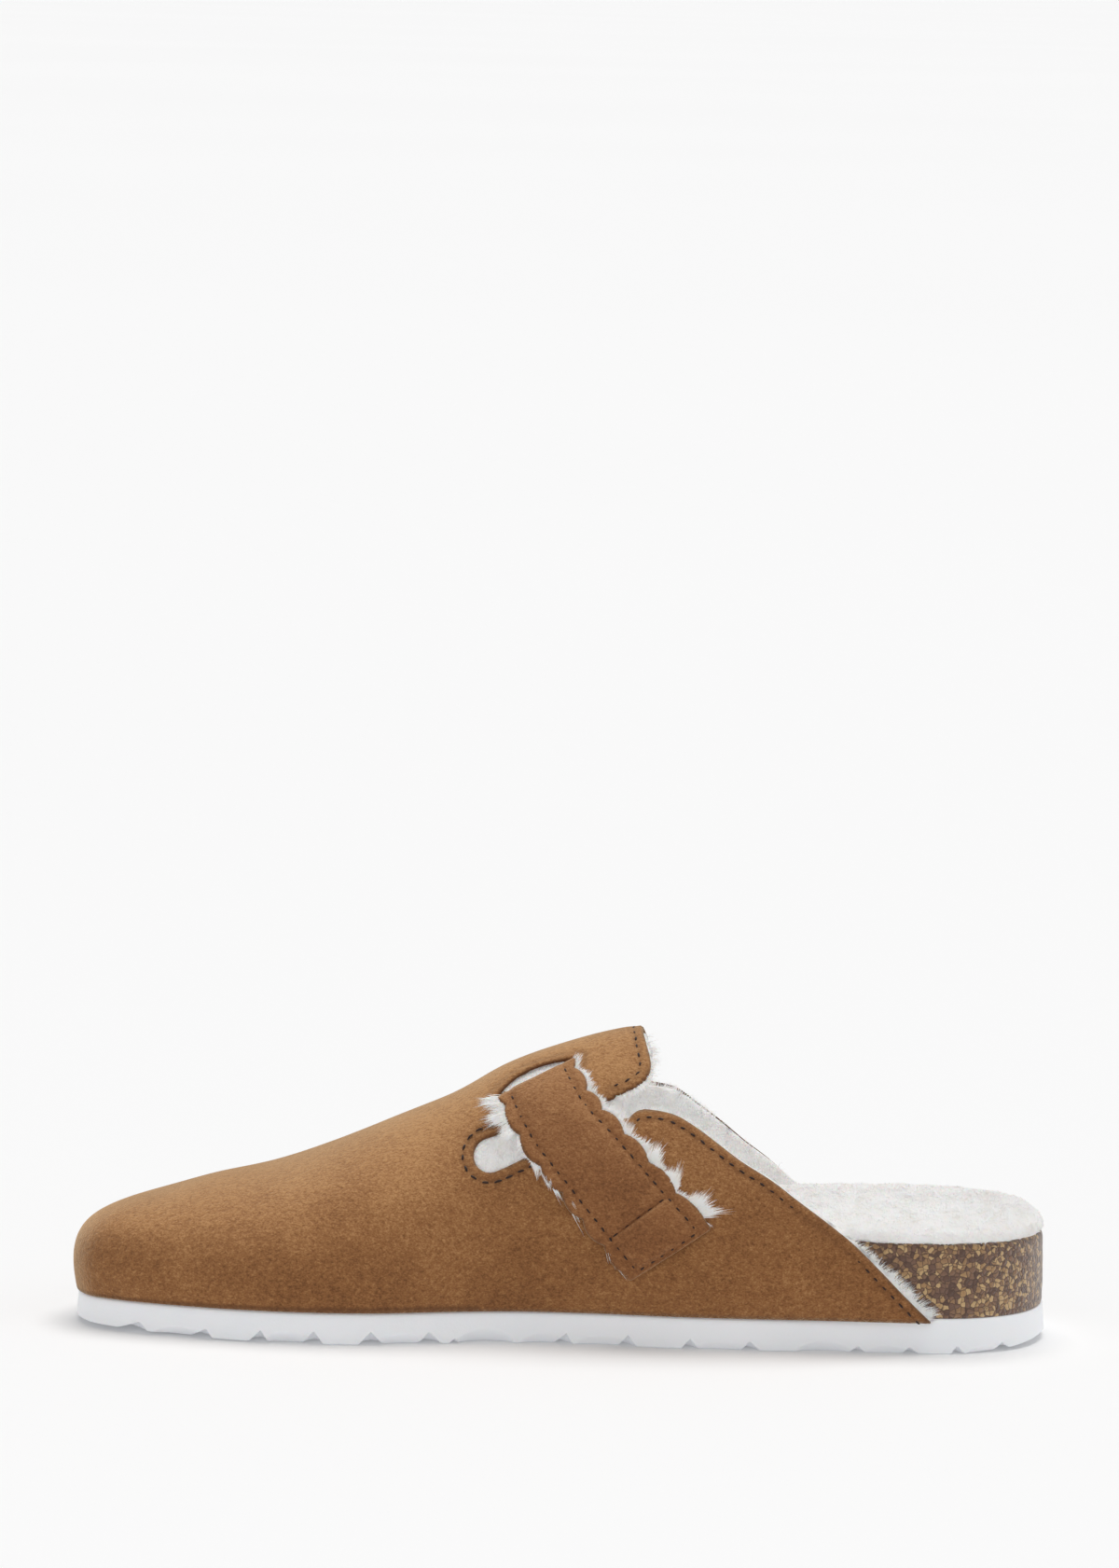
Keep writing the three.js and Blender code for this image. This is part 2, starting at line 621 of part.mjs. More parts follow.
function makeInsole(room) {
  const inset = (x) => footbedInset(x) + GAP;
  const under = (x, side, share) => bedHeight(x, side, share) + GAP;
  const over = (x, side, share) => {
    const down = clamp01((share - 0.86) / 0.14);
    return under(x, side, share) + INSOLE_THICKNESS - INSOLE_EDGE * down * down;
  };
  const top = sheetRows(BED_STEPS, inset, over);
  const bottom = sheetRows(BED_STEPS, inset, under);
  return solidBetween(top, bottom, false).subtract(room);
}

// Height of the tread over the floor: up at the toe and at the back of the heel.
function treadHeight(x) {
  const along = clamp01(x / LENGTH);
  const toe = TOE_SPRING * clamp01((0.28 - along) / 0.28) ** 2;
  const heel = HEEL_BEVEL * clamp01((along - 0.9) / 0.1) ** 2;
  return toe + heel;
}

// One wavy V groove across the tread, from its place at the inner edge.
function grooveCutter(x) {
  const steps = GROOVE_STEPS;
  const reach = BALL_WIDTH * 0.62;
  const rows = Array.from({ length: steps + 1 }, (_, i) => {
    const y = mix(-reach, reach, i / steps);
    const turn = (2 * Math.PI * (y + BALL_WIDTH * 0.4)) / GROOVE_WAVE_PITCH;
    const mid = x + GROOVE_WAVE * (Math.cos(turn) - 1);
    const apex = treadHeight(mid) + GROOVE_DEPTH;
    const under = -1;
    const spread = (GROOVE_WIDTH / 2) * ((apex - under) / GROOVE_DEPTH);
    return [
      new THREE.Vector3(mid - spread, y, under),
      new THREE.Vector3(mid, y, apex),
      new THREE.Vector3(mid + spread, y, under),
    ];
  });
  const faces = [];
  const at = (i, k) => i * 3 + (k % 3);
  for (let i = 0; i < steps; i++)
    for (let k = 0; k < 3; k++)
      faces.push(
        [at(i, k), at(i, k + 1), at(i + 1, k + 1)],
        [at(i, k), at(i + 1, k + 1), at(i + 1, k)],
      );
  faces.push([at(0, 2), at(0, 1), at(0, 0)], [at(steps, 0), at(steps, 1), at(steps, 2)]);
  return manifoldOf(rows.flat(), faces);
}

function makeOutsole() {
  const top = sheetRows(BED_STEPS, () => 0, () => OUTSOLE_HEIGHT);
  const bottom = sheetRows(BED_STEPS, () => -OUTSOLE_FLARE, treadHeight);
  let sole = solidBetween(top, bottom, false);
  for (const along of GROOVES) sole = sole.subtract(grooveCutter(along * LENGTH));
  return sole.subtract(rebate());
}

// The step round the outsole's upper edge that the upper's wall stands in.
function rebate() {
  const low = OUTSOLE_HEIGHT - REBATE_DEPTH;
  const high = OUTSOLE_HEIGHT + COLLAR_MARGIN;
  const slab = (insetAt) =>
    solidBetween(
      sheetRows(2, insetAt, () => high),
      sheetRows(2, insetAt, () => low),
      false,
    );
  return slab(() => -UPPER_WALL * 2).subtract(slab(footbedInset)).subtract(collarBehindWall);
}

// A solid as a named mesh.
function meshOf(name, solid, material) {
  const mesh = solid.getMesh();
  const positions = new Float32Array(mesh.numVert * 3);
  for (let i = 0; i < mesh.numVert; i++)
    positions.set(mesh.vertProperties.subarray(i * mesh.numProp, i * mesh.numProp + 3), i * 3);
  const geometry = new THREE.BufferGeometry();
  geometry.setAttribute("position", new THREE.BufferAttribute(positions, 3));
  geometry.setIndex(new THREE.BufferAttribute(mesh.triVerts, 1));
  geometry.computeVertexNormals();
  const made = new THREE.Mesh(geometry, material);
  made.name = name;
  return made;
}

const finish = (color, roughness) =>
  new THREE.MeshStandardMaterial({ color, roughness, metalness: 0 });
const SUEDE = finish(0x9a6534, 0.95);
const STRAP_SUEDE = finish(0x90592c, 0.95);
const CORK = finish(0x6b5140, 0.85);
const FLEECE = finish(0xf1efec, 1.0);
const WHITE_FOAM = finish(0xe9ebec, 0.5);

const shoe = new THREE.Group();
const room = wallRoom();
shoe.add(
  meshOf("outsole", makeOutsole(), WHITE_FOAM),
  meshOf("footbed", makeFootbed(room), CORK),
  meshOf("insole", makeInsole(room), FLEECE),
  meshOf("upper", makeUpper(), SUEDE),
  meshOf("strap", makeStrap(), STRAP_SUEDE),
);

const box = new THREE.Box3().setFromObject(shoe);
const centre = box.getCenter(new THREE.Vector3());
shoe.position.set(-centre.x, -centre.y, -box.min.z);

export default shoe;
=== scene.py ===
"""A backless clog slipper for the right foot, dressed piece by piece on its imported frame.

Shapes are worked out in millimetres, with the toe tip at x = 0, +X to the heel, -Y to the inner
side of the foot and +Z up, and are put into the frame's place by set_down().
"""

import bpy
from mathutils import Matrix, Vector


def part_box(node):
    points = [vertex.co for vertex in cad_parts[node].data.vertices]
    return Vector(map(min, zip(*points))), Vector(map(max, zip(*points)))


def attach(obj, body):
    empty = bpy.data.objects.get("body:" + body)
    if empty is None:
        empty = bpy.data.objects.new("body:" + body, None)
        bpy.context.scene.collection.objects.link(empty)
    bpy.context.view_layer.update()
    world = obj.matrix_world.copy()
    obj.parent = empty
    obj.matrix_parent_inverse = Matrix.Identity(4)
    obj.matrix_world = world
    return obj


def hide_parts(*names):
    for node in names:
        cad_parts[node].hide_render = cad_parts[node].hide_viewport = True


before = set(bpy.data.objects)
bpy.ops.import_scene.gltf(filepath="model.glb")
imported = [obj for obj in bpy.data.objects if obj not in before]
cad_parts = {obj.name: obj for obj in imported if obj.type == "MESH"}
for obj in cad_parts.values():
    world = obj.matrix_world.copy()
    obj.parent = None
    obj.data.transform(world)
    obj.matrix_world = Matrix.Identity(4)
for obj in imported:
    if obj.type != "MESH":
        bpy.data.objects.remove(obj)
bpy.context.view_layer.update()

import math

import bpy
import numpy as np
from mathutils import Matrix

# Sizes, as in the part's source; the strap in its slot alone is 2.2 mm wider here
LENGTH = 264.0
BALL_WIDTH = 95.0
HEEL_WIDTH = 67.5
OUTSOLE_HEIGHT = 9.4
REBATE_DEPTH = 1.1
OUTSOLE_FLARE = 0.7
TOE_SPRING = 1.6
HEEL_BEVEL = 2.4
GROOVE_WAVE = 2.6
GROOVE_WAVE_PITCH = 34.0
INSTEP_HEIGHT = 81.5
HEEL_RIM_HEIGHT = 29.6
HEEL_CUP_DEPTH = 8.4
FOREFOOT_BED_HEIGHT = 14.6
ARCH_RISE = 2.0
INSOLE_THICKNESS = 4.6
UPPER_WALL = 2.4
STRAP_THICKNESS = 1.8
STRAP_LOW_WIDTH = 24.6
STRAP_TOP_WIDTH = 21.6
SCALLOP_PITCH = 9.4
SCALLOP_DEPTH = 1.5
END_LOBE = 12.0  # of the last scallop at a sewn end
SLIT_WIDTH = 5.6
KEYHOLE_RADIUS = 4.4
GAP = 0.3
INSET_FRONT = 2.0
INSET_HEEL = 0.4
SUEDE = 1.4  # thickness of the suede alone
QUARTER_SEAM = 2.4  # from the quarter's edge to its stitches
TONGUE_SEAM = 3.0  # from the tongue's and the keyhole's edge to theirs
SEAM_SINK = 0.28  # of the stitches under the suede's face
STITCH_PITCH = 3.2
STITCH_LENGTH = 2.0

# along the shoe, then the inner and outer side as shares of the width there
OUTLINE = np.array([
    [0.9975, 0.004, 0.004], [0.99, -0.171, 0.175], [0.97, -0.321, 0.325],
    [0.936, -0.433, 0.437], [0.895, -0.489, 0.495], [0.84, -0.5, 0.51],
    [0.77, -0.498, 0.512], [0.7, -0.485, 0.511], [0.62, -0.442, 0.503],
    [0.54, -0.38, 0.497], [0.46, -0.352, 0.503], [0.39, -0.372, 0.516],
    [0.31, -0.424, 0.528], [0.235, -0.434, 0.512], [0.165, -0.409, 0.45],
    [0.1, -0.36, 0.355], [0.052, -0.305, 0.228], [0.0195, -0.236, 0.07],
    [0.006, -0.095, -0.095],
])
# along, ridge height, its shift, each side's rise, lean and reach
LAST = np.array([
    [0.0, 0.353, -0.12, 0.72, 0.045, 0.8], [0.08, 0.421, -0.1, 0.62, 0.03, 0.72],
    [0.14, 0.474, -0.07, 0.61, 0.028, 0.62], [0.2, 0.523, -0.045, 0.6, 0.03, 0.58],
    [0.26, 0.594, -0.03, 0.58, 0.034, 0.56], [0.32, 0.675, -0.02, 0.56, 0.04, 0.54],
    [0.38, 0.762, -0.012, 0.53, 0.05, 0.52], [0.44, 0.87, -0.006, 0.5, 0.062, 0.5],
    [0.5, 0.945, 0.0, 0.48, 0.074, 0.5], [0.56, 0.999, 0.004, 0.46, 0.08, 0.48],
    [0.6, 1.01, 0.006, 0.45, 0.085, 0.46], [0.7, 1.03, 0.01, 0.44, 0.095, 0.44],
    [0.85, 1.05, 0.01, 0.42, 0.105, 0.44], [1.0, 1.06, 0.01, 0.42, 0.105, 0.44],
])
# along, bed, inner rim, outer rim
FOOTBED = np.array([
    [0.0, 0.045, 0.2, 0.2], [0.15, 0.0, 0.2, 0.2], [0.32, 0.045, 0.24, 0.22],
    [0.42, 0.32, 0.5, 0.34], [0.55, 0.82, 0.9, 0.62], [0.68, 0.955, 1.0, 0.88],
    [0.8, 1.0, 1.0, 1.0], [1.0, 1.0, 1.0, 1.0],
])
# edge of the collar seen from the side: along, height
TONGUE_EDGE = np.array([
    [0.5765, 1.035], [0.5785, 1.0], [0.5835, 0.953], [0.587, 0.905], [0.5825, 0.864],
    [0.568, 0.831], [0.55, 0.806],
])
QUARTER_EDGE = {
    -1: np.array([
        [0.5645, 0.742], [0.574, 0.767], [0.587, 0.772], [0.611, 0.76], [0.631, 0.728],
        [0.651, 0.686], [0.679, 0.623], [0.711, 0.563], [0.739, 0.498], [0.7715, 0.424],
        [0.796, 0.363], [0.82, 0.289], [0.8445, 0.207], [0.876, 0.105],
    ]),
    1: np.array([
        [0.5645, 0.742], [0.574, 0.767], [0.587, 0.774], [0.605, 0.768], [0.62, 0.748],
        [0.639, 0.7], [0.665, 0.634], [0.6885, 0.569], [0.7145, 0.505], [0.736, 0.442],
        [0.76, 0.373], [0.79, 0.286], [0.82, 0.193], [0.848, 0.105],
    ]),
}
KEYHOLE = np.array([0.424, 0.613])  # its centre: along, height
# run from the tongue's middle to a sewn end, along, girth from the ridge to the lower edge; the
# rows before run 0.7 lie up to 1 mm nearer the toe than the part's
STRAP = np.array([
    [0.0, 0.4625, 0.0], [0.16, 0.4685, 0.156], [0.39, 0.493, 0.361], [0.62, 0.533, 0.533],
    [0.82, 0.572, 0.677], [1.0, 0.6085, 0.8],
])
SLOT_RUN = 0.17  # where the strap passes through the tongue
STRAP_SKEW = 3.0  # how far ahead its sewn end is cut at the rear corner
UPPER_FRONT = LENGTH * 0.08
BED_FRONT = LENGTH * 0.12
BED_BACK = LENGTH * 0.87
UPPER_SEAT = OUTSOLE_HEIGHT - REBATE_DEPTH + GAP
REAR_U = 3.5 / (len(OUTLINE) - 1)


# Sums that every piece uses

def mix(a, b, t):
    """a + (b - a) * t."""
    return a + (b - a) * t


def smooth(t):
    """t * t * (3 - 2 t), with t held from 0 to 1."""
    t = np.clip(t, 0.0, 1.0)
    return t * t * (3.0 - 2.0 * t)


def unit(v):
    """v divided by its own length."""
    return v / np.maximum(np.linalg.norm(v, axis=-1, keepdims=True), 1e-12)


def hermite(t, a, m, b, n):
    """The cubic from a with slope m to b with slope n: (2t^3 - 3t^2 + 1) a + (t^3 - 2t^2 + t) m
    + (3t^2 - 2t^3) b + (t^3 - t^2) n."""
    p = (2 * t**3 - 3 * t**2 + 1) * a + (t**3 - 2 * t**2 + t) * m
    return p + (3 * t**2 - 2 * t**3) * b + (t**3 - t**2) * n


def run_of(line):
    """How far along a line each of its points lies."""
    return np.concatenate([[0], np.linalg.norm(np.diff(line, axis=0), axis=1).cumsum()])


def read_at(values, run, at):
    """Rows of values known at run, read at the places at by straight steps."""
    return np.stack([np.interp(at, run, values[:, k]) for k in range(values.shape[1])], 1)


def triangles_of(faces):
    """Each quad as two triangles; triangles stay as they are."""
    if faces.shape[1] == 3:
        return faces
    return np.concatenate([faces[:, [0, 1, 2]], faces[:, [0, 2, 3]]])


def column(rows, name, at):
    """One column of a table at the places at: a cubic through the rows, whose slope at a row is
    the rise between its neighbours over their distance."""
    key, val = rows[:, 0], rows[:, name]
    at = np.clip(np.asarray(at, float), key[0], key[-1])
    i = np.clip(np.searchsorted(key, at, side="right") - 1, 0, len(key) - 2)
    low = np.maximum(np.arange(len(key)) - 1, 0)
    high = np.minimum(np.arange(len(key)) + 1, len(key) - 1)
    slope = (val[high] - val[low]) / (key[high] - key[low])
    step = key[i + 1] - key[i]
    t = (at - key[i]) / step
    return hermite(t, val[i], step * slope[i], val[i + 1], step * slope[i + 1])


def clumps(p, size, seed, waves=22):
    """Smooth unevenness from -1 to 1: the mean of sine waves of about the given length, each in
    a direction of its own: sum sin(k . p + phase) / sqrt(waves / 2)."""
    rng = np.random.default_rng(seed)
    k = unit(rng.normal(size=(waves, 3))) * (2 * math.pi / size) * rng.uniform(0.6, 1.5, (waves, 1))
    phase = rng.uniform(0, 2 * math.pi, waves)
    total = np.zeros(p.shape[:-1])
    for direction, start in zip(k, phase):
        total += np.sin(p @ direction + start)
    return total / math.sqrt(waves / 2) * 0.6


WIDTHS = mix(BALL_WIDTH, HEEL_WIDTH, smooth((OUTLINE[:, 0] - 0.34) / 0.48))
RING = np.concatenate([
    np.stack([OUTLINE[:, 0] * LENGTH, OUTLINE[:, 1] * WIDTHS], 1),
    np.stack([OUTLINE[:, 0] * LENGTH, OUTLINE[:, 2] * WIDTHS], 1)[1:-1][::-1],
])


def outline(u, side, grow=0.0):
    """A point (x, y) of the sole's edge, u from 0 at the heel tip to 1 at the toe tip, on side
    -1 or 1: a cubic through the ring of points, moved out by grow along its normal."""
    u, side = np.broadcast_arrays(np.asarray(u, float), side)
    turn = np.where(side < 0, u / 2, 1 - u / 2) % 1.0 * len(RING)
    i = np.floor(turn).astype(int)
    t = (turn - i)[..., None]
    a, b, c, d = (RING[(i + k) % len(RING)] for k in (-1, 0, 1, 2))
    m, n = (c - a) / 2, (d - b) / 2
    v = unit((6 * t**2 - 6 * t) * (b - c) + (3 * t**2 - 4 * t + 1) * m + (3 * t**2 - 2 * t) * n)
    out = np.stack([-v[..., 1], v[..., 0]], -1)
    return hermite(t, b, m, c, n) + out * np.asarray(grow, float)[..., None]


def inset(x):
    """How far the footbed's edge lies inside the outsole's edge, by a smooth step over x."""
    return mix(INSET_FRONT, INSET_HEEL, smooth((x / LENGTH - 0.7) / 0.18))


def middle_x(x, front, back=LENGTH * 3):
    """x held smoothly between front and back: softplus from each end, 6 mm soft."""
    held = front + 6 * np.log1p(np.exp((x - front) / 6))
    return back - 6 * np.log1p(np.exp((back - held) / 6))


def ridge(x):
    """The upper's ridge at x, from its table's shift and height."""
    along = x / LENGTH
    y = column(LAST, 2, along) * BALL_WIDTH
    return np.stack([x, y, column(LAST, 1, along) * INSTEP_HEIGHT], -1)


def ribs(u, side):
    """The four control points of the upper's rib at u: the edge on the outsole, straight up and
    leaning out, level with the ridge on the way in, and the ridge."""
    edge = outline(u, side)
    base = outline(u, side, UPPER_WALL + GAP - inset(edge[..., 0]))
    base = np.concatenate([base, np.full(base.shape[:-1] + (1,), UPPER_SEAT)], -1)
    along = np.clip(edge[..., 0] / LENGTH, 0, 1)
    top = ridge(middle_x(base[..., 0], UPPER_FRONT))
    step = LENGTH * 0.01
    slope = (ridge(top[..., 0] + step)[..., 2] - ridge(top[..., 0] - step)[..., 2]) / (2 * step)
    inward = (top - base) * [1, 1, 0]
    width = np.linalg.norm(inward, axis=-1)
    inward = unit(inward)
    rise, lean, reach = (column(LAST, k, along) for k in (3, 4, 5))
    low = base - inward * (lean * BALL_WIDTH)[..., None]
    low[..., 2] = base[..., 2] + rise * (top[..., 2] - base[..., 2])
    high = top - inward * (reach * width)[..., None]
    high[..., 2] = top[..., 2] - reach * width * slope * inward[..., 0]
    return np.stack([base, low, high, top], -2)


def bezier(ctrl, t):
    """(1-t)^3 a + 3 (1-t)^2 t b + 3 (1-t) t^2 c + t^3 d for each rib and each t."""
    a, b, c, d = (ctrl[..., None, k, :] for k in range(4))
    t = t[..., None]
    s = 1 - t
    return s**3 * a + 3 * s * s * t * b + 3 * s * t * t * c + t**3 * d


def along_rib(ctrl, share):
    """Points at equal shares of each rib's own length: the length is summed over 48 chords."""
    t = np.linspace(0, 1, 49)
    fine = bezier(ctrl, np.broadcast_to(t, ctrl.shape[:-2] + t.shape))
    run = np.linalg.norm(np.diff(fine, axis=-2), axis=-1).cumsum(-1)
    run = np.concatenate([np.zeros(run.shape[:-1] + (1,)), run], -1) / run[..., -1:]
    share = np.broadcast_to(share, ctrl.shape[:-2] + share.shape[-1:])
    i = np.clip((run[..., None, :] <= share[..., :, None]).sum(-1) - 1, 0, 47)
    low = np.take_along_axis(run, i, -1)
    high = np.take_along_axis(run, i + 1, -1)
    return bezier(ctrl, (i + (share - low) / np.maximum(high - low, 1e-9)) / 48)


def upper_sheet(u, girth):
    """Rows of the upper's outer face over u, across girth from -1 (inner edge) by 0 (ridge) to 1
    (outer edge), and the face's outward normals from the sheet's own steps."""
    inner = along_rib(ribs(u, -1), 1 - np.abs(girth[girth < 0]))
    outer = along_rib(ribs(u, 1), 1 - np.abs(girth[girth >= 0]))
    points = np.concatenate([inner, outer], 1)
    return points, normals_of(points)


def normals_of(points):
    """Outward normals of a sheet whose rows run to the toe: across x along."""
    along = np.gradient(points, axis=0)
    across = np.gradient(points, axis=1)
    return unit(np.cross(across, along))


# The upper over x and girth, for what is laid on it later
CHART_U = np.linspace(0, 1, 2001)
CHART_STEP = 0.8
CHART_X = np.arange(80.0, 262.0, CHART_STEP)
CHART_HALF = 120
CHART_G = np.linspace(-1, 1, 2 * CHART_HALF + 1)


def chart():
    """The upper's face and its normals on a chart of x and girth: u is found from the outline."""
    halves = []
    for side in (-1, 1):
        x = outline(CHART_U, side)[:, 0]
        u = np.interp(CHART_X, x[::-1], CHART_U[::-1])
        girth = CHART_G[CHART_G < 0] if side < 0 else CHART_G[CHART_G >= 0]
        halves.append(along_rib(ribs(u, side), 1 - np.abs(girth)))
    points = np.concatenate(halves, 1)
    return points, -normals_of(points)


CHART_P, CHART_N = chart()


def read_chart(sheet, x, girth):
    """The value of a chart at x and girth: a straight mix of the four cells round it."""
    a = np.clip((x - CHART_X[0]) / CHART_STEP, 0, len(CHART_X) - 1.001)
    b = np.clip((girth + 1) / 2 * (len(CHART_G) - 1), 0, len(CHART_G) - 1.001)
    i, j = a.astype(int), b.astype(int)
    s, t = (a - i)[..., None], (b - j)[..., None]
    near = sheet[i, j] * (1 - t) + sheet[i, j + 1] * t
    far = sheet[i + 1, j] * (1 - t) + sheet[i + 1, j + 1] * t
    return near * (1 - s) + far * s


def on_upper(x, girth, lift=0.0):
    """The upper's face at x and girth, raised by lift along its normal."""
    p = read_chart(CHART_P, x, girth)
    n = unit(read_chart(CHART_N, x, girth))
    return p + n * np.asarray(lift, float)[..., None], n


def girth_at(x, z, side):
    """The girth at which the upper has height z at x, read off the chart's column of heights."""
    heights = read_chart(CHART_P, x[:, None], np.broadcast_to(CHART_G, (len(x), len(CHART_G))))[..., 2]
    half = slice(0, CHART_HALF + 1) if side < 0 else slice(CHART_HALF, None)
    h, g = heights[:, half], CHART_G[half]
    if side > 0:
        h, g = h[:, ::-1], g[::-1]
    i = np.clip((h < z[:, None]).sum(1) - 1, 0, len(g) - 2)
    rows = np.arange(len(x))
    t = np.clip((z - h[rows, i]) / np.maximum(h[rows, i + 1] - h[rows, i], 1e-6), 0, 1)
    return g[i] * (1 - t) + g[i + 1] * t


# Meshes and their places

OFFSET = np.array([
    float(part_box("outsole")[1][0]) * 1000 - (outline(CHART_U, 1)[:, 0].max() + OUTSOLE_FLARE),
    float(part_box("outsole")[1][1]) * 1000 - (outline(CHART_U, 1)[:, 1].max() + OUTSOLE_FLARE),
    0.0,
])


def set_down(points):
    """Shoe millimetres to frame metres."""
    return (points + OFFSET) / 1000.0


def piece(name, points, faces, material, slot, stands_for=(), attributes=None):
    """A closed mesh from points in millimetres and triangles or quads, turned so that its faces
    point outwards: the sum of a . (b x c) over its triangles is above zero."""
    pts = set_down(np.asarray(points, float))
    faces = np.asarray(faces, np.int64)
    tri = triangles_of(faces)
    a, b, c = pts[tri[:, 0]], pts[tri[:, 1]], pts[tri[:, 2]]
    if np.einsum("ij,ij->i", a, np.cross(b, c)).sum() < 0:
        faces = faces[:, ::-1]
    mesh = bpy.data.meshes.new(name)
    mesh.vertices.add(len(pts))
    mesh.vertices.foreach_set("co", pts.astype(np.float32).ravel())
    corners = faces.shape[1]
    mesh.loops.add(faces.size)
    mesh.loops.foreach_set("vertex_index", faces.ravel().astype(np.int32))
    mesh.polygons.add(len(faces))
    mesh.polygons.foreach_set("loop_start", np.arange(0, faces.size, corners, dtype=np.int32))
    mesh.update(calc_edges=True)
    mesh.validate()
    mesh.polygons.foreach_set("use_smooth", np.ones(len(mesh.polygons), bool))
    for key, values in (attributes or {}).items():
        layer = mesh.attributes.new(key, "FLOAT", "POINT")
        layer.data.foreach_set("value", np.asarray(values, np.float32))
    mesh.materials.append(material)
    made = bpy.data.objects.new(name, mesh)
    bpy.context.scene.collection.objects.link(made)
    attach(made, "root")
    if stands_for:
        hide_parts(*stands_for)
    return made


def grid_faces(rows, columns, loop_rows=False, loop_columns=False, start=0):
    """Quads of a grid of rows by columns points, closed where it is a loop."""
    i = np.arange(rows if loop_rows else rows - 1)[:, None]
    j = np.arange(columns if loop_columns else columns - 1)[None, :]
    i2, j2 = (i + 1) % rows, (j + 1) % columns
    quads = [i * columns + j, i2 * columns + j, i2 * columns + j2, i * columns + j2]
    return np.stack([np.broadcast_to(q, (i.size, j.size)) for q in quads], -1).reshape(-1, 4) + start


def whole(tri):
    """The triangles whose three corners differ."""
    return tri[(tri[:, 0] != tri[:, 1]) & (tri[:, 1] != tri[:, 2]) & (tri[:, 2] != tri[:, 0])]


def weld(points, faces):
    """Points nearer than a thousandth become one, and faces that lose a side become triangles
    or go. Returns points and triangles."""
    key = np.round(points / 1e-3).astype(np.int64)
    _, first, back = np.unique(key, axis=0, return_index=True, return_inverse=True)
    return points[first], whole(triangles_of(back.ravel()[faces]))


def folded_sheet(rows, cols):
    """Triangles of a sheet whose last row folds on itself at the toe, so that its two halves
    become the same points."""
    index = np.arange(rows * cols)
    last = (rows - 1) * cols
    index[last + (cols + 1) // 2 :] = last + np.arange(cols)[::-1][(cols + 1) // 2 :]
    return whole(triangles_of(index[grid_faces(rows, cols)]))


def cut(triangles, field):
    """Triangles where the field is above zero. A side from a to b that crosses zero is cut at
    a + (b - a) fa / (fa - fb). Returns triangles over the old points followed by the cut points,
    and for each cut point its two ends and its share between them."""
    inside = field > 0
    count = inside[triangles].sum(1)
    crossing = triangles[(count == 1) | (count == 2)]
    one = inside[crossing].sum(1) == 1
    odd = np.argmax(inside[crossing] == one[:, None], 1)
    rows = np.arange(len(crossing))
    a, b, c = (crossing[rows, (odd + k) % 3] for k in range(3))
    pairs = np.concatenate([np.stack([a, b], 1), np.stack([a, c], 1)])
    keys, back = np.unique(np.sort(pairs, 1), axis=0, return_inverse=True)
    back = back.ravel() + len(field)
    ab, ac = back[: len(rows)], back[len(rows) :]
    corner, near, far = (np.stack(t, 1) for t in ((a, ab, ac), (ab, b, c), (ab, c, ac)))
    low, high = field[keys[:, 0]], field[keys[:, 1]]
    parts = [triangles[count == 3], corner[one], near[~one], far[~one]]
    return np.concatenate(parts), keys, low / (low - high)


def distance(points, line):
    """Distance of each point from a line of straight steps."""
    start, step = line[:-1], np.diff(line, axis=0)
    size = np.maximum((step**2).sum(1), 1e-12)
    best = np.full(len(points), 1e9)
    for chunk in range(0, len(points), 4000):
        p = points[chunk : chunk + 4000, None, :]
        t = np.clip(((p - start) * step).sum(-1) / size, 0, 1)[..., None]
        best[chunk : chunk + 4000] = np.linalg.norm(p - start - step * t, axis=-1).min(1)
    return best


def within(points, ring):
    """True where a flat point lies inside a flat ring: a ray to +X crosses it an odd number of
    times."""
    a, b = ring, np.roll(ring, -1, 0)
    x, y = points[:, 0, None], points[:, 1, None]
    spans = (a[:, 1] > y) != (b[:, 1] > y)
    rise = np.where(np.abs(b[:, 1] - a[:, 1]) < 1e-12, 1e-12, b[:, 1] - a[:, 1])
    left = x < a[:, 0] + (y - a[:, 1]) * (b[:, 0] - a[:, 0]) / rise
    return (spans & left).sum(1) % 2 == 1


def curve_through(rows, count):
    """A Catmull-Rom curve through flat points, count points to a step."""
    rows = np.concatenate([rows[:1], rows, rows[-1:]])
    t = np.arange(count)[None, :, None] / count
    a, b, c, d = (rows[k : len(rows) - 3 + k, None, :] for k in range(4))
    p = hermite(t, b, (c - a) / 2, c, (d - b) / 2)
    return np.concatenate([p.reshape(-1, 2), rows[-1:]])


def resample(line, step):
    """The same line in equal steps of about the given length."""
    run = run_of(line)
    return read_at(line, run, np.linspace(0, run[-1], max(2, int(round(run[-1] / step)) + 1)))


# Edges of the upper

def collar_lines(side):
    """The collar's edge on one side as flat lines of (x, z): the tongue's rear edge, the slit's
    two lips with the keyhole between them, and the quarter's edge."""
    size = np.array([LENGTH, INSTEP_HEIGHT])
    tongue = curve_through(TONGUE_EDGE * size, 4)
    quarter = curve_through(QUARTER_EDGE[side] * size, 4)
    centre = KEYHOLE * size
    run = (tongue[-1] + quarter[0]) / 2 - centre
    reach = np.linalg.norm(run)
    axis = run / reach
    up = np.array([-axis[1], axis[0]])
    share = np.array([0.1, 0.2, 0.3, 0.4, 0.5, 0.8])[:, None]
    half = mix(KEYHOLE_RADIUS, SLIT_WIDTH / 2, smooth(share * 2))
    lower = centre + axis * share * reach - up * half
    upper = (centre + axis * share * reach + up * half)[::-1]
    turn = np.linspace(0.5, 1.5, 17)[:, None] * math.pi
    hole = centre + (axis * np.cos(turn) + up * np.sin(turn)) * KEYHOLE_RADIUS
    return tongue, np.concatenate([upper, hole, lower]), quarter


def strap_middle(run):
    """The strap's middle at run, below zero on the inner side: (along, girth)."""
    return column(STRAP, 1, np.abs(run)), np.sign(run) * column(STRAP, 2, np.abs(run))


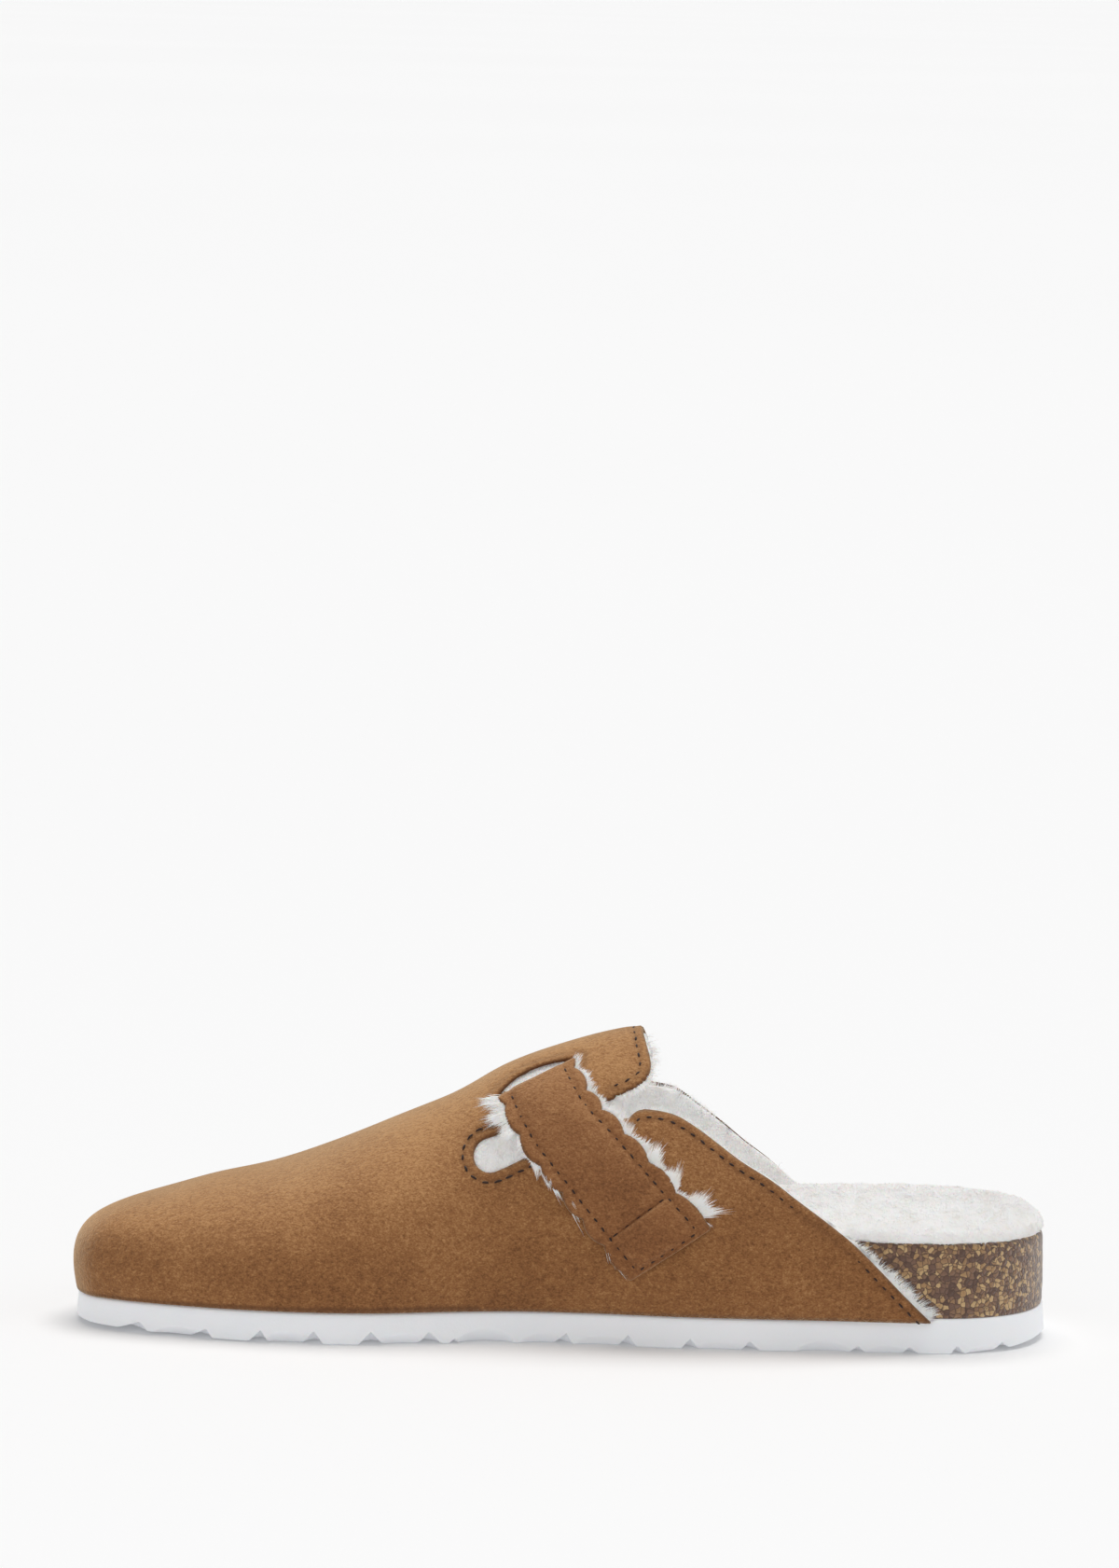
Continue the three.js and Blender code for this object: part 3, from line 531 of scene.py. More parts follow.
GIRTH_RIB = along_rib(ribs(np.array([0.55]), -1), np.linspace(0, 1, 60))[0]
HALF_GIRTH = float(run_of(GIRTH_RIB)[-1])
STRAP_RUN = HALF_GIRTH * 0.95
STRAP_END = 1 + 1.0 / STRAP_RUN  # the sewn ends are drawn 1 mm past the plain ones


def strap_place(run, off):
    """A place on the strap: the middle at run, moved off mm square to its heading and, nearer the
    sewn ends, on along it by STRAP_SKEW off / half, as (x, girth). Past run 1 it goes on straight."""
    along, girth = strap_middle(run)
    held = np.clip(run, -0.98, 0.98)
    a0, g0 = strap_middle(held - 0.02)
    a1, g1 = strap_middle(held + 0.02)
    heading = unit(np.stack([(a1 - a0) * LENGTH, (g1 - g0) * HALF_GIRTH], -1))
    askew = STRAP_SKEW * smooth((np.abs(run) - 0.55) / 0.45) * off / strap_half(run)
    ahead = np.sign(run) * (askew + np.maximum(np.abs(run) - 1, 0) * STRAP_RUN)
    x = along * LENGTH + off * heading[..., 1] + ahead * heading[..., 0]
    return x, girth + (ahead * heading[..., 1] - off * heading[..., 0]) / HALF_GIRTH


def strap_half(run):
    """Half the strap's width at run, from its width in the slot to its width at the sewn end."""
    flare = smooth((np.abs(run) - SLOT_RUN) / (1 - SLOT_RUN))
    return mix(STRAP_TOP_WIDTH, STRAP_LOW_WIDTH, flare) / 2


def slot_ring(side):
    """The slot in the tongue: a crescent across the strap, its upper lip bowed to the ridge."""
    c = np.linspace(-1, 1, 25)
    half = STRAP_TOP_WIDTH / 2 + 0.6
    high = SLOT_RUN - 0.004 - 0.054 * (1 - c**2)
    low = SLOT_RUN + 0.004 + 0.034 * (1 - c**4) ** 0.5
    run = side * np.concatenate([high, low[::-1]])
    off = half * np.concatenate([c, c[::-1]])
    x, girth = strap_place(run, off)
    return np.stack([x, girth * HALF_GIRTH], 1)


def edge_lines():
    """Every cut edge of the upper as lines in space, with a name and a side for each."""
    lines = []
    for side in (-1, 1):
        tongue, hole, quarter = collar_lines(side)
        mouth = np.stack([tongue[-1], quarter[0]])
        named = (("tongue", tongue), ("keyhole", hole), ("quarter", quarter), ("mouth", mouth))
        for name, flat in named:
            flat = resample(flat, 0.8)
            girth = girth_at(flat[:, 0], flat[:, 1], side)
            lines.append((name, side, on_upper(flat[:, 0], girth)[0]))
        ring = slot_ring(side)
        ring = np.concatenate([ring, ring[:1]])
        lines.append(("slot", side, on_upper(ring[:, 0], ring[:, 1] / HALF_GIRTH)[0]))
    return lines


EDGES = edge_lines()


def opening(points, side_of, x_girth, slits):
    """How far a point of the upper lies from its nearest cut edge, above zero where there is
    material and below zero in the collar, or in a slit or a slot where slits are asked for."""
    field = np.full(len(points), 12.0)
    near = points[:, 0] > LENGTH * 0.36
    for name, side, line in EDGES:
        if name in (("mouth",) if slits else ("keyhole", "slot")):
            continue
        pick = near & (side_of == side)
        if name == "tongue":
            pick = near
        field[pick] = np.minimum(field[pick], distance(points[pick], line))
    for side in (-1, 1):
        tongue, hole, quarter = collar_lines(side)
        far, high = LENGTH + 60, INSTEP_HEIGHT + 60
        tail = [[quarter[-1, 0], -60], [far, -60], [far, high], [tongue[0, 0], high]]
        ring = np.concatenate([tongue, hole, quarter, tail] if slits else [tongue, quarter, tail])
        pick = np.nonzero(side_of == side)[0]
        out = within(points[pick][:, [0, 2]], ring)
        if slits:
            out |= within(x_girth[pick], slot_ring(side))
        field[pick[out]] *= -1
    return field


def even_stations(first, step):
    """Values of u from first to the toe, about step mm apart along the outline."""
    u = np.linspace(first, 1, 4000)
    run = [np.linalg.norm(np.diff(outline(u, side), axis=0), axis=1) for side in (-1, 1)]
    run = np.concatenate([[0], np.maximum(*run).cumsum()])
    return np.interp(np.linspace(0, run[-1], int(run[-1] / step)), run, u)


def shell(step, reach, top, bottom, round_edge, slits):
    """A wall of the upper between two lifts: the sheet over u and girth is cut where opening()
    plus reach is zero, each face is moved by its lift, and the cut edge is closed. Both faces
    draw back by r - sqrt(r^2 - (r - d)^2) at a distance d under r from the edge."""
    u = even_stations(REAR_U, step)
    half = np.linspace(0, 1, int(HALF_GIRTH / step))
    girth = np.concatenate([half[::-1][:-1] * -1, half])
    girth[len(half) - 1] = 1e-6
    points, normals = upper_sheet(u, girth)
    rows, cols = points.shape[:2]
    toe = unit(normals[-1] + normals[-1, ::-1])
    normals[-1] = toe
    points[-1] = (points[-1] + points[-1, ::-1]) / 2
    x = outline(u, -1)[:, 0]
    side_of = np.where(girth < 0, -1, 1)
    flat = points.reshape(-1, 3)
    sides = np.tile(side_of, rows)
    span = np.stack([np.repeat(x, cols), np.tile(girth * HALF_GIRTH, rows)], 1)
    field = opening(flat, sides, span, slits) + reach
    triangles, pairs, share = cut(folded_sheet(rows, cols), field)
    one, two, share = pairs[:, 0], pairs[:, 1], share[:, None]
    blend = lambda v: np.concatenate([v, v[one] * (1 - share) + v[two] * share])
    flat, normal, span = blend(flat), unit(blend(normals.reshape(-1, 3))), blend(span)
    field = np.concatenate([field, np.zeros(len(pairs))])
    used, back = np.unique(triangles, return_inverse=True)
    triangles = back.reshape(-1, 3)
    flat, normal, field, span = flat[used], normal[used], field[used], span[used]
    d = np.clip(field, 0, round_edge)
    drop = round_edge - np.sqrt(np.maximum(round_edge**2 - (round_edge - d) ** 2, 0))
    upper = flat + normal * (top(flat, field, span) - drop)[:, None]
    lower = flat + normal * (bottom(flat, field, span) + drop)[:, None]
    sides = np.concatenate([triangles[:, [0, 1]], triangles[:, [1, 2]], triangles[:, [2, 0]]])
    key = sides[:, 0] * (len(flat) + 1) + sides[:, 1]
    other = sides[:, 1] * (len(flat) + 1) + sides[:, 0]
    rim = sides[~np.isin(key, other)]
    n = len(flat)
    wall = np.concatenate([
        np.stack([rim[:, 1], rim[:, 0], rim[:, 0] + n], 1),
        np.stack([rim[:, 1], rim[:, 0] + n, rim[:, 1] + n], 1),
    ])
    faces = np.concatenate([triangles, triangles[:, ::-1] + n, wall])
    return np.concatenate([upper, lower]), faces, np.tile(field, 2), np.repeat([1.0, 0.0], n)


# Finishes

def tone(r, g, b):
    """A colour given in the usual 0 to 255 values, as linear numbers."""
    c = np.array([r, g, b]) / 255.0
    linear = np.where(c <= 0.04045, c / 12.92, ((c + 0.055) / 1.055) ** 2.4)
    return (*[float(v) for v in linear], 1.0)


class Finish:
    """A new material, with short calls for its nodes. Sizes in its patterns are in metres."""

    def __init__(self, name, **numbers):
        self.material = bpy.data.materials.new(name)
        self.material.use_nodes = True
        self.nodes = self.material.node_tree.nodes
        self.nodes.clear()
        numbers = {key.replace("_", " "): value for key, value in numbers.items()}
        self.shader = self.node("ShaderNodeBsdfPrincipled", numbers)
        self.node("ShaderNodeOutputMaterial", {"Surface": self.shader.outputs[0]})

    def node(self, kind, feeds=None, **settings):
        """A node with its settings; feeds holds a value or a socket for each input named."""
        made = self.nodes.new(kind)
        for key, value in settings.items():
            setattr(made, key, value)
        for key, value in (feeds or {}).items():
            if isinstance(value, bpy.types.NodeSocket):
                self.material.node_tree.links.new(value, made.inputs[key])
            else:
                made.inputs[key].default_value = value
        return made

    def place(self, scale, turn=(0.0, 0.0, 0.0)):
        """Object coordinates turned and scaled per axis."""
        where = self.node("ShaderNodeTexCoord").outputs["Object"]
        feeds = {"Scale": scale, "Rotation": turn, "Vector": where}
        return self.node("ShaderNodeMapping", feeds).outputs["Vector"]

    def noise(self, size, detail=3.0, rough=0.55, stretch=(1.0, 1.0, 1.0), turn=(0.0, 0.0, 0.0)):
        """Noise whose spots are about size metres."""
        where = self.place([s / size for s in stretch], turn)
        feeds = {"Scale": 1.0, "Detail": detail, "Roughness": rough, "Vector": where}
        return self.node("ShaderNodeTexNoise", feeds).outputs["Fac"]

    def sum(self, first, second, share):
        """first + second * share."""
        scaled = self.node("ShaderNodeMath", {0: second, 1: share}, operation="MULTIPLY")
        return self.node("ShaderNodeMath", {0: first, 1: scaled.outputs[0]}, operation="ADD").outputs[0]

    def ramp(self, value, stops):
        """Colours over a value, from (place, colour) stops."""
        made = self.node("ShaderNodeValToRGB", {"Fac": value})
        made.color_ramp.elements[0].position, made.color_ramp.elements[0].color = stops[0]
        made.color_ramp.elements[1].position, made.color_ramp.elements[1].color = stops[-1]
        for place, colour in stops[1:-1]:
            made.color_ramp.elements.new(place).color = colour
        return made.outputs["Color"]

    def blend(self, factor, first, second):
        """first towards second by a factor; each is a socket or a colour. The node's inputs 6
        and 7 and its output 2 are those for colours."""
        return self.node("ShaderNodeMix", {0: factor, 6: first, 7: second}, data_type="RGBA").outputs[2]

    def layer(self, name):
        """A number kept on the piece's own points."""
        return self.node("ShaderNodeAttribute", attribute_name=name).outputs["Fac"]

    def bump(self, height, metres, under=None):
        """A bump of the given depth, over another one if there is one."""
        feeds = {"Strength": 1.0, "Distance": metres, "Height": height}
        if under is not None:
            feeds["Normal"] = under
        return self.node("ShaderNodeBump", feeds).outputs["Normal"]

    def done(self, colour, normal=None):
        """The material, with its colour and its bumps joined to the shader."""
        self.material.node_tree.links.new(colour, self.shader.inputs["Base Color"])
        if normal is not None:
            self.material.node_tree.links.new(normal, self.shader.inputs["Normal"])
        return self.material


def suede(name, dark, middle, light, edge):
    """Napped leather: brushed patches, mottle and a short slanting nap; painted top light makes it
    lighter where the face points up (the layer crown), and it is darker at its cut edge and, as
    painted shade, along the stitch grooves (the layer rim)."""
    made = Finish(
        name, Roughness=0.92, Sheen_Weight=0.85, Sheen_Roughness=0.5, Specular_IOR_Level=0.15,
        Sheen_Tint=tone(242, 216, 180),
    )
    patches = made.noise(0.022, 3.0, 0.55)
    mottle = made.noise(0.0022, 3.0, 0.6)
    nap = made.noise(0.0008, 3.0, 0.65, (0.75, 1.0, 1.0), (0.0, 0.5, 0.25))
    fine = made.noise(0.00036, 2.0, 0.6, (0.7, 1.0, 1.0), (0.0, 0.4, 0.5))
    value = nap
    # the layer crown adds painted top light: the colour is lighter where the face points up
    for part, share in ((mottle, 0.36), (fine, 0.95), (patches, 0.62), (made.layer("crown"), 0.3)):
        value = made.sum(value, part, share)
    level = made.node("ShaderNodeMapRange", {"Value": value, "From Min": 1.16, "From Max": 1.94})
    shade = made.ramp(level.outputs["Result"], [(0.0, dark), (0.5, middle), (1.0, light)])
    # the layer rim darkens towards the edge colour: the cut edges, and as painted shade the stitch grooves
    shade = made.blend(made.layer("rim"), shade, edge)
    return made.done(shade, made.bump(nap, 0.00034, made.bump(mottle, 0.00022)))


def cork(name):
    """Pressed cork: granules of 1 to 3 mm with a cell's own shade, dark binder between them."""
    made = Finish(
        name, Roughness=0.55, Sheen_Weight=0.5, Sheen_Roughness=0.5, Specular_IOR_Level=0.3
    )
    place = made.place((1.0, 1.0, 1.0))
    warp = made.node("ShaderNodeTexNoise", {"Scale": 420.0, "Detail": 2.0, "Vector": place})
    shift = made.node(
        "ShaderNodeVectorMath", {0: warp.outputs["Color"], 1: (0.0016,) * 3, 2: place},
        operation="MULTIPLY_ADD",
    )
    feeds = {"Scale": 760.0, "Vector": shift.outputs[0]}
    cells = made.node("ShaderNodeTexVoronoi", feeds)
    edges = made.node("ShaderNodeTexVoronoi", feeds, feature="DISTANCE_TO_EDGE")
    own = made.node("ShaderNodeSeparateColor", {0: cells.outputs["Color"]})
    grain = made.noise(0.0009, 3.0, 0.7)
    shade = made.ramp(made.sum(own.outputs[0], grain, 0.35), [
        (0.12, tone(92, 68, 57)), (0.42, tone(124, 94, 78)), (0.7, tone(144, 110, 84)),
        (0.9, tone(180, 142, 98)), (1.0, tone(208, 174, 126)),
    ])
    gap = made.ramp(edges.outputs["Distance"], [(0.0, tone(255, 255, 255)), (0.12, tone(0, 0, 0))])
    shade = made.blend(gap, shade, tone(84, 63, 54))
    rough = made.bump(made.noise(0.0032, 2.0, 0.5), 0.0004)
    return made.done(shade, made.bump(made.sum(edges.outputs["Distance"], grain, 0.5), 0.0005, rough))


def foam(name):
    """Moulded white foam: matt, very slightly blue, with a fine orange-peel skin and a faint painted glow
    that lightens it where it lies in shade.
    """
    # the emission is painted light: a faint glow that lightens the foam in shade
    made = Finish(
        name, Roughness=0.45, Subsurface_Weight=0.1, Subsurface_Scale=0.002,
        Emission_Color=tone(244, 246, 250), Emission_Strength=0.13, Specular_IOR_Level=0.35,
    )
    cloud = made.noise(0.03, 2.0)
    shade = made.ramp(cloud, [(0.3, tone(240, 242, 245)), (0.7, tone(246, 247, 250))])
    return made.done(shade, made.bump(made.noise(0.0007, 2.0), 0.00004))


def fleece(name, fibre, painted_glow):
    """White wool pile: soft clumps and fine fibres, a little cream between the clumps, and a painted glow
    that keeps it white where it lies in shade.
    """
    # the emission is painted light: a glow that keeps the pile white in shade
    made = Finish(
        name, Roughness=0.95, Sheen_Weight=0.5, Sheen_Roughness=0.4, Specular_IOR_Level=0.1,
        Emission_Color=tone(250, 250, 252), Emission_Strength=painted_glow, Subsurface_Weight=0.2,
        Subsurface_Scale=0.003,
    )
    lumps = made.noise(0.005, 3.0, 0.6)
    threads = made.noise(fibre, 4.0, 0.7, (1.0, 1.0, 0.4))
    shade = made.ramp(made.sum(lumps, threads, 0.4), [
        (0.35, tone(222, 216, 207)), (0.6, tone(240, 238, 234)), (0.9, tone(250, 250, 249)),
    ])
    return made.done(shade, made.bump(threads, 0.0007, made.bump(lumps, 0.0022)))


def wool_hair(name):
    """Single wool hairs: near white, with sheen, a little light through them and a painted glow that keeps
    them white in shade.
    """
    # the emission is painted light: a glow that stands in for light scattered through the hairs
    made = Finish(
        name, Roughness=0.75, Sheen_Weight=0.35, Subsurface_Weight=0.35, Subsurface_Scale=0.001,
        Emission_Color=tone(250, 250, 252), Emission_Strength=0.16, Specular_IOR_Level=0.2,
    )
    return made.done(made.ramp(made.noise(0.004), [
        (0.35, tone(236, 232, 226)), (0.65, tone(250, 249, 247)),
    ]))


def thread(name):
    """Dark waxed thread with its twist."""
    made = Finish(name, Roughness=0.6, Sheen_Weight=0.15, Specular_IOR_Level=0.3)
    fine = made.noise(0.0003, 2.0)
    shade = made.ramp(fine, [(0.3, tone(32, 18, 12)), (0.7, tone(64, 38, 25))])
    return made.done(shade, made.bump(fine, 0.0001))


UPPER_SUEDE = suede(
    "suede", tone(114, 72, 41), tone(155, 105, 63), tone(192, 143, 94), tone(88, 54, 35)
)
STRAP_SUEDE = suede(
    "strap_suede", tone(110, 68, 40), tone(146, 96, 58), tone(178, 128, 84), tone(84, 50, 33)
)
CORK = cork("pressed_cork")
FOAM = foam("white_foam")
# the last number of each fleece is its painted glow, a brightening that stands in for light
LINING_FLEECE = fleece("lining_fleece", 0.0008, 0.16)
INSOLE_FLEECE = fleece("insole_fleece", 0.0007, 0.16)
WOOL = wool_hair("wool")
THREAD = thread("thread")


# Sole, footbed and insole

def stations(step):
    """u over both sides for one turn round the sole, from the heel tip by the toe and back, the
    same on both sides, about step apart; with the side of each."""
    u = even_stations(0.0, step)
    return np.concatenate([u, u[::-1][1:-1]]), np.repeat([-1, 1], [len(u), len(u) - 2])


def turned(u, side, columns):
    """A closed skin whose every column is (share, grow, height): a point between the sole's
    middle line (share 0) and its outline grown by grow (share 1), at a height given as numbers
    or as a function of the point."""
    middle_at = middle_x((outline(u, -1)[:, 0] + outline(u, 1)[:, 0]) / 2, BED_FRONT, BED_BACK)
    middle = np.stack([middle_at, column(LAST, 2, middle_at / LENGTH) * BALL_WIDTH], 1)
    skin = []
    for share, grow, height in columns:
        edge = outline(u, side, np.broadcast_to(grow, u.shape))
        flat = middle * (1 - share) + edge * share
        high = height(flat) if callable(height) else np.broadcast_to(height, u.shape)
        skin.append(np.concatenate([flat, high[:, None]], 1))
    skin = np.stack(skin, 1)
    faces = grid_faces(len(u), len(columns), loop_rows=True)
    return weld(skin.reshape(-1, 3), faces)


# notches seen from the inner side: place, height of the tip, reach towards the toe and the heel
NOTCHES = np.array([
    [21.0, 2.1, 4.6, 1.8], [37.5, 2.2, 4.4, 1.6], [52.5, 2.9, 3.4, 1.9], [66.8, 3.3, 3.0, 2.6],
    [81.8, 3.2, 3.2, 3.2], [97.0, 3.0, 2.6, 3.6], [104.2, 1.2, 1.4, 1.4], [135.4, 2.6, 3.4, 1.6],
    [151.5, 2.7, 2.6, 2.0], [167.5, 2.5, 2.3, 2.3], [183.3, 2.3, 2.0, 2.8], [212.8, 1.5, 2.6, 1.9],
    [226.5, 1.6, 1.8, 2.6], [239.8, 2.0, 1.8, 2.2], [254.5, 1.8, 1.8, 3.0],
])
# scoops in the side between notches: place, half length, height, slope
SCOOPS = np.array([
    [30.2, 7.4, 2.9, 1.0], [59.8, 6.6, 3.2, 1.0], [89.5, 7.0, 2.9, 0.9], [112.0, 7.6, 3.8, 1.1],
    [127.7, 6.0, 2.6, 0.9], [143.6, 7.4, 2.4, 0.8], [175.4, 7.2, 2.3, 0.8], [202.8, 6.9, 2.9, 1.1],
    [219.7, 6.0, 1.9, 0.7], [247.2, 6.4, 2.2, 0.8],
])


def tread(flat):
    """The tread's height: up at the toe and heel by squares of the place, plus for each notch
    tip * (1 - distance / reach) where that is above zero. The notches wave across the sole and
    are nearly closed 5 mm in from its edge."""
    along = np.clip(flat[:, 0] / LENGTH, 0, 1)
    high = TOE_SPRING * np.clip((0.28 - along) / 0.28, 0, 1) ** 2
    high = high + HEEL_BEVEL * np.clip((along - 0.9) / 0.1, 0, 1) ** 2
    wave = GROOVE_WAVE * (np.cos(2 * math.pi * (flat[:, 1] + 38) / GROOVE_WAVE_PITCH) - 1)
    inner, outer = (OUTLINE[::-1, k] * WIDTHS[::-1] for k in (1, 2))
    half = np.interp(along, OUTLINE[::-1, 0], outer - inner) / 2
    middle = np.interp(along, OUTLINE[::-1, 0], outer + inner) / 2
    inward = half - np.abs(flat[:, 1] - middle)
    deep = 1.1 - 0.95 * smooth((inward - 0.8) / 4.0) + 0.4 * smooth((inward - 9.0) / 6.0)
    x = flat[:, 0] - wave
    for place, tip, fore, aft in NOTCHES:
        off = x - place
        reach = np.where(off < 0, fore, aft)
        high = high + tip * deep * np.clip(1 - np.abs(off) / reach, 0, 1)
    return high


def make_outsole():
    """The foam sole: a flat top with the upper's rebate, a side with softened upper and lower
    edges, and the notched tread. A scoop's upper edge is tall * sqrt(1 - (x / half)^2) over the
    floor, and below it the side slants in by its slope."""
    u, side = stations(0.62)
    x = outline(u, side)[:, 0]
    base = tread(outline(u, side))
    behind = smooth((x / LENGTH - np.where(side < 0, 0.872, 0.844)) / 0.012)
    top = OUTSOLE_HEIGHT - REBATE_DEPTH * (1 - behind)
    flat_top = ((0.0, 0.0), (0.5, 0.0), (1.0, -3.2), (1.0, -2.4))
    columns = [(share, grow, OUTSOLE_HEIGHT) for share, grow in flat_top]
    columns += [(1.0, -2.2, top), (1.0, -0.55, top), (1.0, -0.2, top - 0.12), (1.0, 0.0, top - 0.45)]
    for share in (0.15, 0.3, 0.45, 0.54, 0.58, 0.62, 0.66, 0.7, 0.74, 0.78, 0.82, 0.86, 0.9, 0.94, 0.97):
        z = base + (top - base) * (1 - share)
        grow = OUTSOLE_FLARE * (1 - z / OUTSOLE_HEIGHT)
        for place, half, tall, slope in SCOOPS:
            edge = tall * np.sqrt(np.clip(1 - ((x - place) / half) ** 2, 0, 1))
            grow = grow - slope * np.maximum(edge - z, 0)
        columns.append((1.0, grow, z))
    under = columns[-1][1]
    columns += [(1.0, under - 0.25, base + 0.06), (1.0, under - 0.8, base)]
    for inward in (1.6, 2.4, 3.2, 4.0, 5.0):
        columns.append((1.0, np.minimum(under - 0.8, -inward), tread))
    for share in (0.84, 0.76, 0.68, 0.6, 0.52, 0.44, 0.36, 0.28, 0.2, 0.1, 0.0):
        columns.append((share, -1.0, tread))
    points, faces = turned(u, side, columns)
    return piece("outsole_foam", points, faces, FOAM, "outsole", ["outsole"])


def bed_height(x, side, share):
    """Height of the cork: its bed and its rim from the table, the rim rising with the cube of
    share, and a soft hump of ARCH_RISE at the inner arch."""
    along = np.clip(x / LENGTH, 0, 1)
    span = HEEL_RIM_HEIGHT - FOREFOOT_BED_HEIGHT
    bed = FOREFOOT_BED_HEIGHT + column(FOOTBED, 1, along) * (span - HEEL_CUP_DEPTH)
    rim = np.where(side < 0, column(FOOTBED, 2, along), column(FOOTBED, 3, along)) * span
    arch = np.where(side < 0, ARCH_RISE * np.exp(-(((along - 0.66) / 0.1) ** 2)), 0.0)
    return mix(bed, FOREFOOT_BED_HEIGHT + rim + arch, share**3)


def make_footbed():
    """The cork: flat below, a side that bellies out by 0.25 mm, a rounded rim and the cup."""
    u, side = stations(1.1)
    x = outline(u, side)[:, 0]
    edge = -inset(x)
    rim = bed_height(x, side, 1.0)
    low = OUTSOLE_HEIGHT + 0.02
    columns = [(0.0, edge, low), (0.6, edge, low), (1.0, edge - 0.5, low), (1.0, edge - 0.1, low + 0.2)]
    for share in np.linspace(0.04, 0.88, 10):
        belly = 0.25 * math.sin(math.pi * share) - 0.35 * share
        columns.append((1.0, edge + belly, low + (rim - low) * share))
    for turn in np.linspace(0.1, 1, 5) * math.pi / 2:
        columns.append((1.0, edge - 0.3 - 1.6 * (1 - math.cos(turn)), rim - 1.8 * (1 - math.sin(turn))))
    for share in (0.9, 0.75, 0.6, 0.4, 0.2, 0.0):
        columns.append((share, edge - 2, lambda flat, s=share: bed_height(flat[:, 0], side, s) - 0.1))
    points, faces = turned(u, side, columns)
    points = points + clumps(points, 3.0, 5)[:, None] * [0.08, 0.08, 0.0]
    return piece("cork_footbed", points, faces, CORK, "footbed", ["footbed"])


def insole_edge(x):
    """How far the fleece reaches past the outline: inside the upper at the front, and over the
    cork's rim at the heel."""
    return mix(-2.7, -0.5, smooth((x / LENGTH - 0.72) / 0.12))


def make_insole():
    """The fleece: a cup on the cork whose edge rises from the rim as a quarter of an oval, 3.6 mm
    in and 3.4 mm up, higher on the outer side of the heel; pushed in and out by clumps."""
    u, side = stations(1.5)
    x = outline(u, side)[:, 0]
    edge = insole_edge(x)
    rim = bed_height(x, side, 1.0)
    top = INSOLE_THICKNESS - 0.6
    columns = [(0.0, edge, lambda flat: bed_height(flat[:, 0], side, 0.0) + 0.1)]
    for share in (0.3, 0.6, 0.8, 0.93):
        columns.append((share, edge, lambda flat, s=share: bed_height(flat[:, 0], side, s) + 0.1))
    over = 1.3 * smooth(outline(u, side)[:, 1] / 16) * smooth((x / LENGTH - 0.6) / 0.12)
    columns += [(1.0, edge - 1.2, rim + 0.15), (1.0, edge - 0.3, rim + 0.2)]
    for turn in np.linspace(0, 1, 9) * math.pi / 2:
        high = rim + 1.0 + (3.4 + over) * math.sin(turn)
        columns.append((1.0, edge - 3.6 * (1 - math.cos(turn)), high))
    for share in (0.97, 0.93, 0.88, 0.82, 0.75, 0.67, 0.58, 0.5, 0.42, 0.34, 0.26, 0.18, 0.09, 0.0):
        columns.append((share, edge - 3.8, lambda flat, s=share: (
            bed_height(flat[:, 0], side, s) + top + (over + 0.4) * s**6
        )))
    points, faces = turned(u, side, columns)
    normal = vertex_normals(points, faces)
    lump = clumps(points, 9.0, 11) * 0.2 + clumps(points, 3.4, 12) * 0.1
    points = points + normal * lump[:, None]
    made = piece("fleece_insole", points, faces, INSOLE_FLEECE, "insole", ["insole"])
    return points, faces


def vertex_normals(points, faces):
    """The mean of the cross products of the faces round each point, pointing outwards."""
    tri = triangles_of(faces)
    a, b, c = (points[tri[:, k]] for k in range(3))
    cross = np.cross(b - a, c - a)
    total = np.zeros(points.shape)
    for k in range(3):
        np.add.at(total, tri[:, k], cross)
    volume = np.einsum("ij,ij->i", a, np.cross(b, c)).sum()
    return unit(total) * (1 if volume > 0 else -1)


# The upper

# soft troughs (below zero) and swells: x, girth in mm from the ridge, reach along and across, lift
CREASES = np.array([
    [56.0, -14.0, 16.0, 22.0, -0.55], [88.0, -42.0, 22.0, 12.0, 0.5], [74.0, 18.0, 24.0, 16.0, -0.5],
    [104.0, -24.0, 9.0, 26.0, -0.5], [116.0, -50.0, 10.0, 20.0, -0.45], [141.0, -66.0, 22.0, 8.0, 0.6],
    [168.0, -62.0, 16.0, 10.0, -0.5], [104.0, 26.0, 9.0, 26.0, -0.5], [118.0, 50.0, 10.0, 20.0, -0.45],
    [196.0, -64.0, 15.0, 12.0, 0.5], [38.0, 0.0, 12.0, 20.0, 0.45], [146.0, 62.0, 22.0, 9.0, 0.5],
])


def upper_top(flat, field, span):
    """Lift of the suede's face: swells and troughs lift * exp(-(dx/a)^2 - (dy/b)^2), and a
    groove 0.3 mm deep under each line of stitches."""
    lift = np.zeros(len(flat))
    for x, y, a, b, high in CREASES:
        lift += high * np.exp(-(((span[:, 0] - x) / a) ** 2) - ((span[:, 1] - y) / b) ** 2)
    lift -= 0.3 * np.exp(-(((field - 2.5) / 0.55) ** 2)) * (flat[:, 0] > LENGTH * 0.4)
    return lift


def make_upper():
    """The suede alone, with its rounded cut edges."""
    points, faces, field, outer = shell(
        1.25, 0.0, upper_top, lambda f, d, s: upper_top(f, d, s) - SUEDE, 0.55, True
    )
    rim = np.clip(1 - field / 0.5, 0, 1) * 0.9
    # painted shade: darker along the stitch groove 2.5 mm inside each cut edge; the inner face takes the
    # edge colour all over
    rim = np.maximum(rim, np.where(outer > 0, 0.35 * np.exp(-(((field - 2.5) / 0.7) ** 2)), 1.0))
    rim = np.where(points[:, 2] < UPPER_SEAT + 1.2, np.maximum(rim, 0.6), rim)
    # painted top light: how far each point faces up, which lightens the suede's colour
    crown = smooth((vertex_normals(points, faces)[:, 2] - 0.15) / 0.8)
    layers = {"rim": rim, "crown": crown}
    return piece("suede_upper", points, faces, UPPER_SUEDE, "upper", ["upper"], layers)


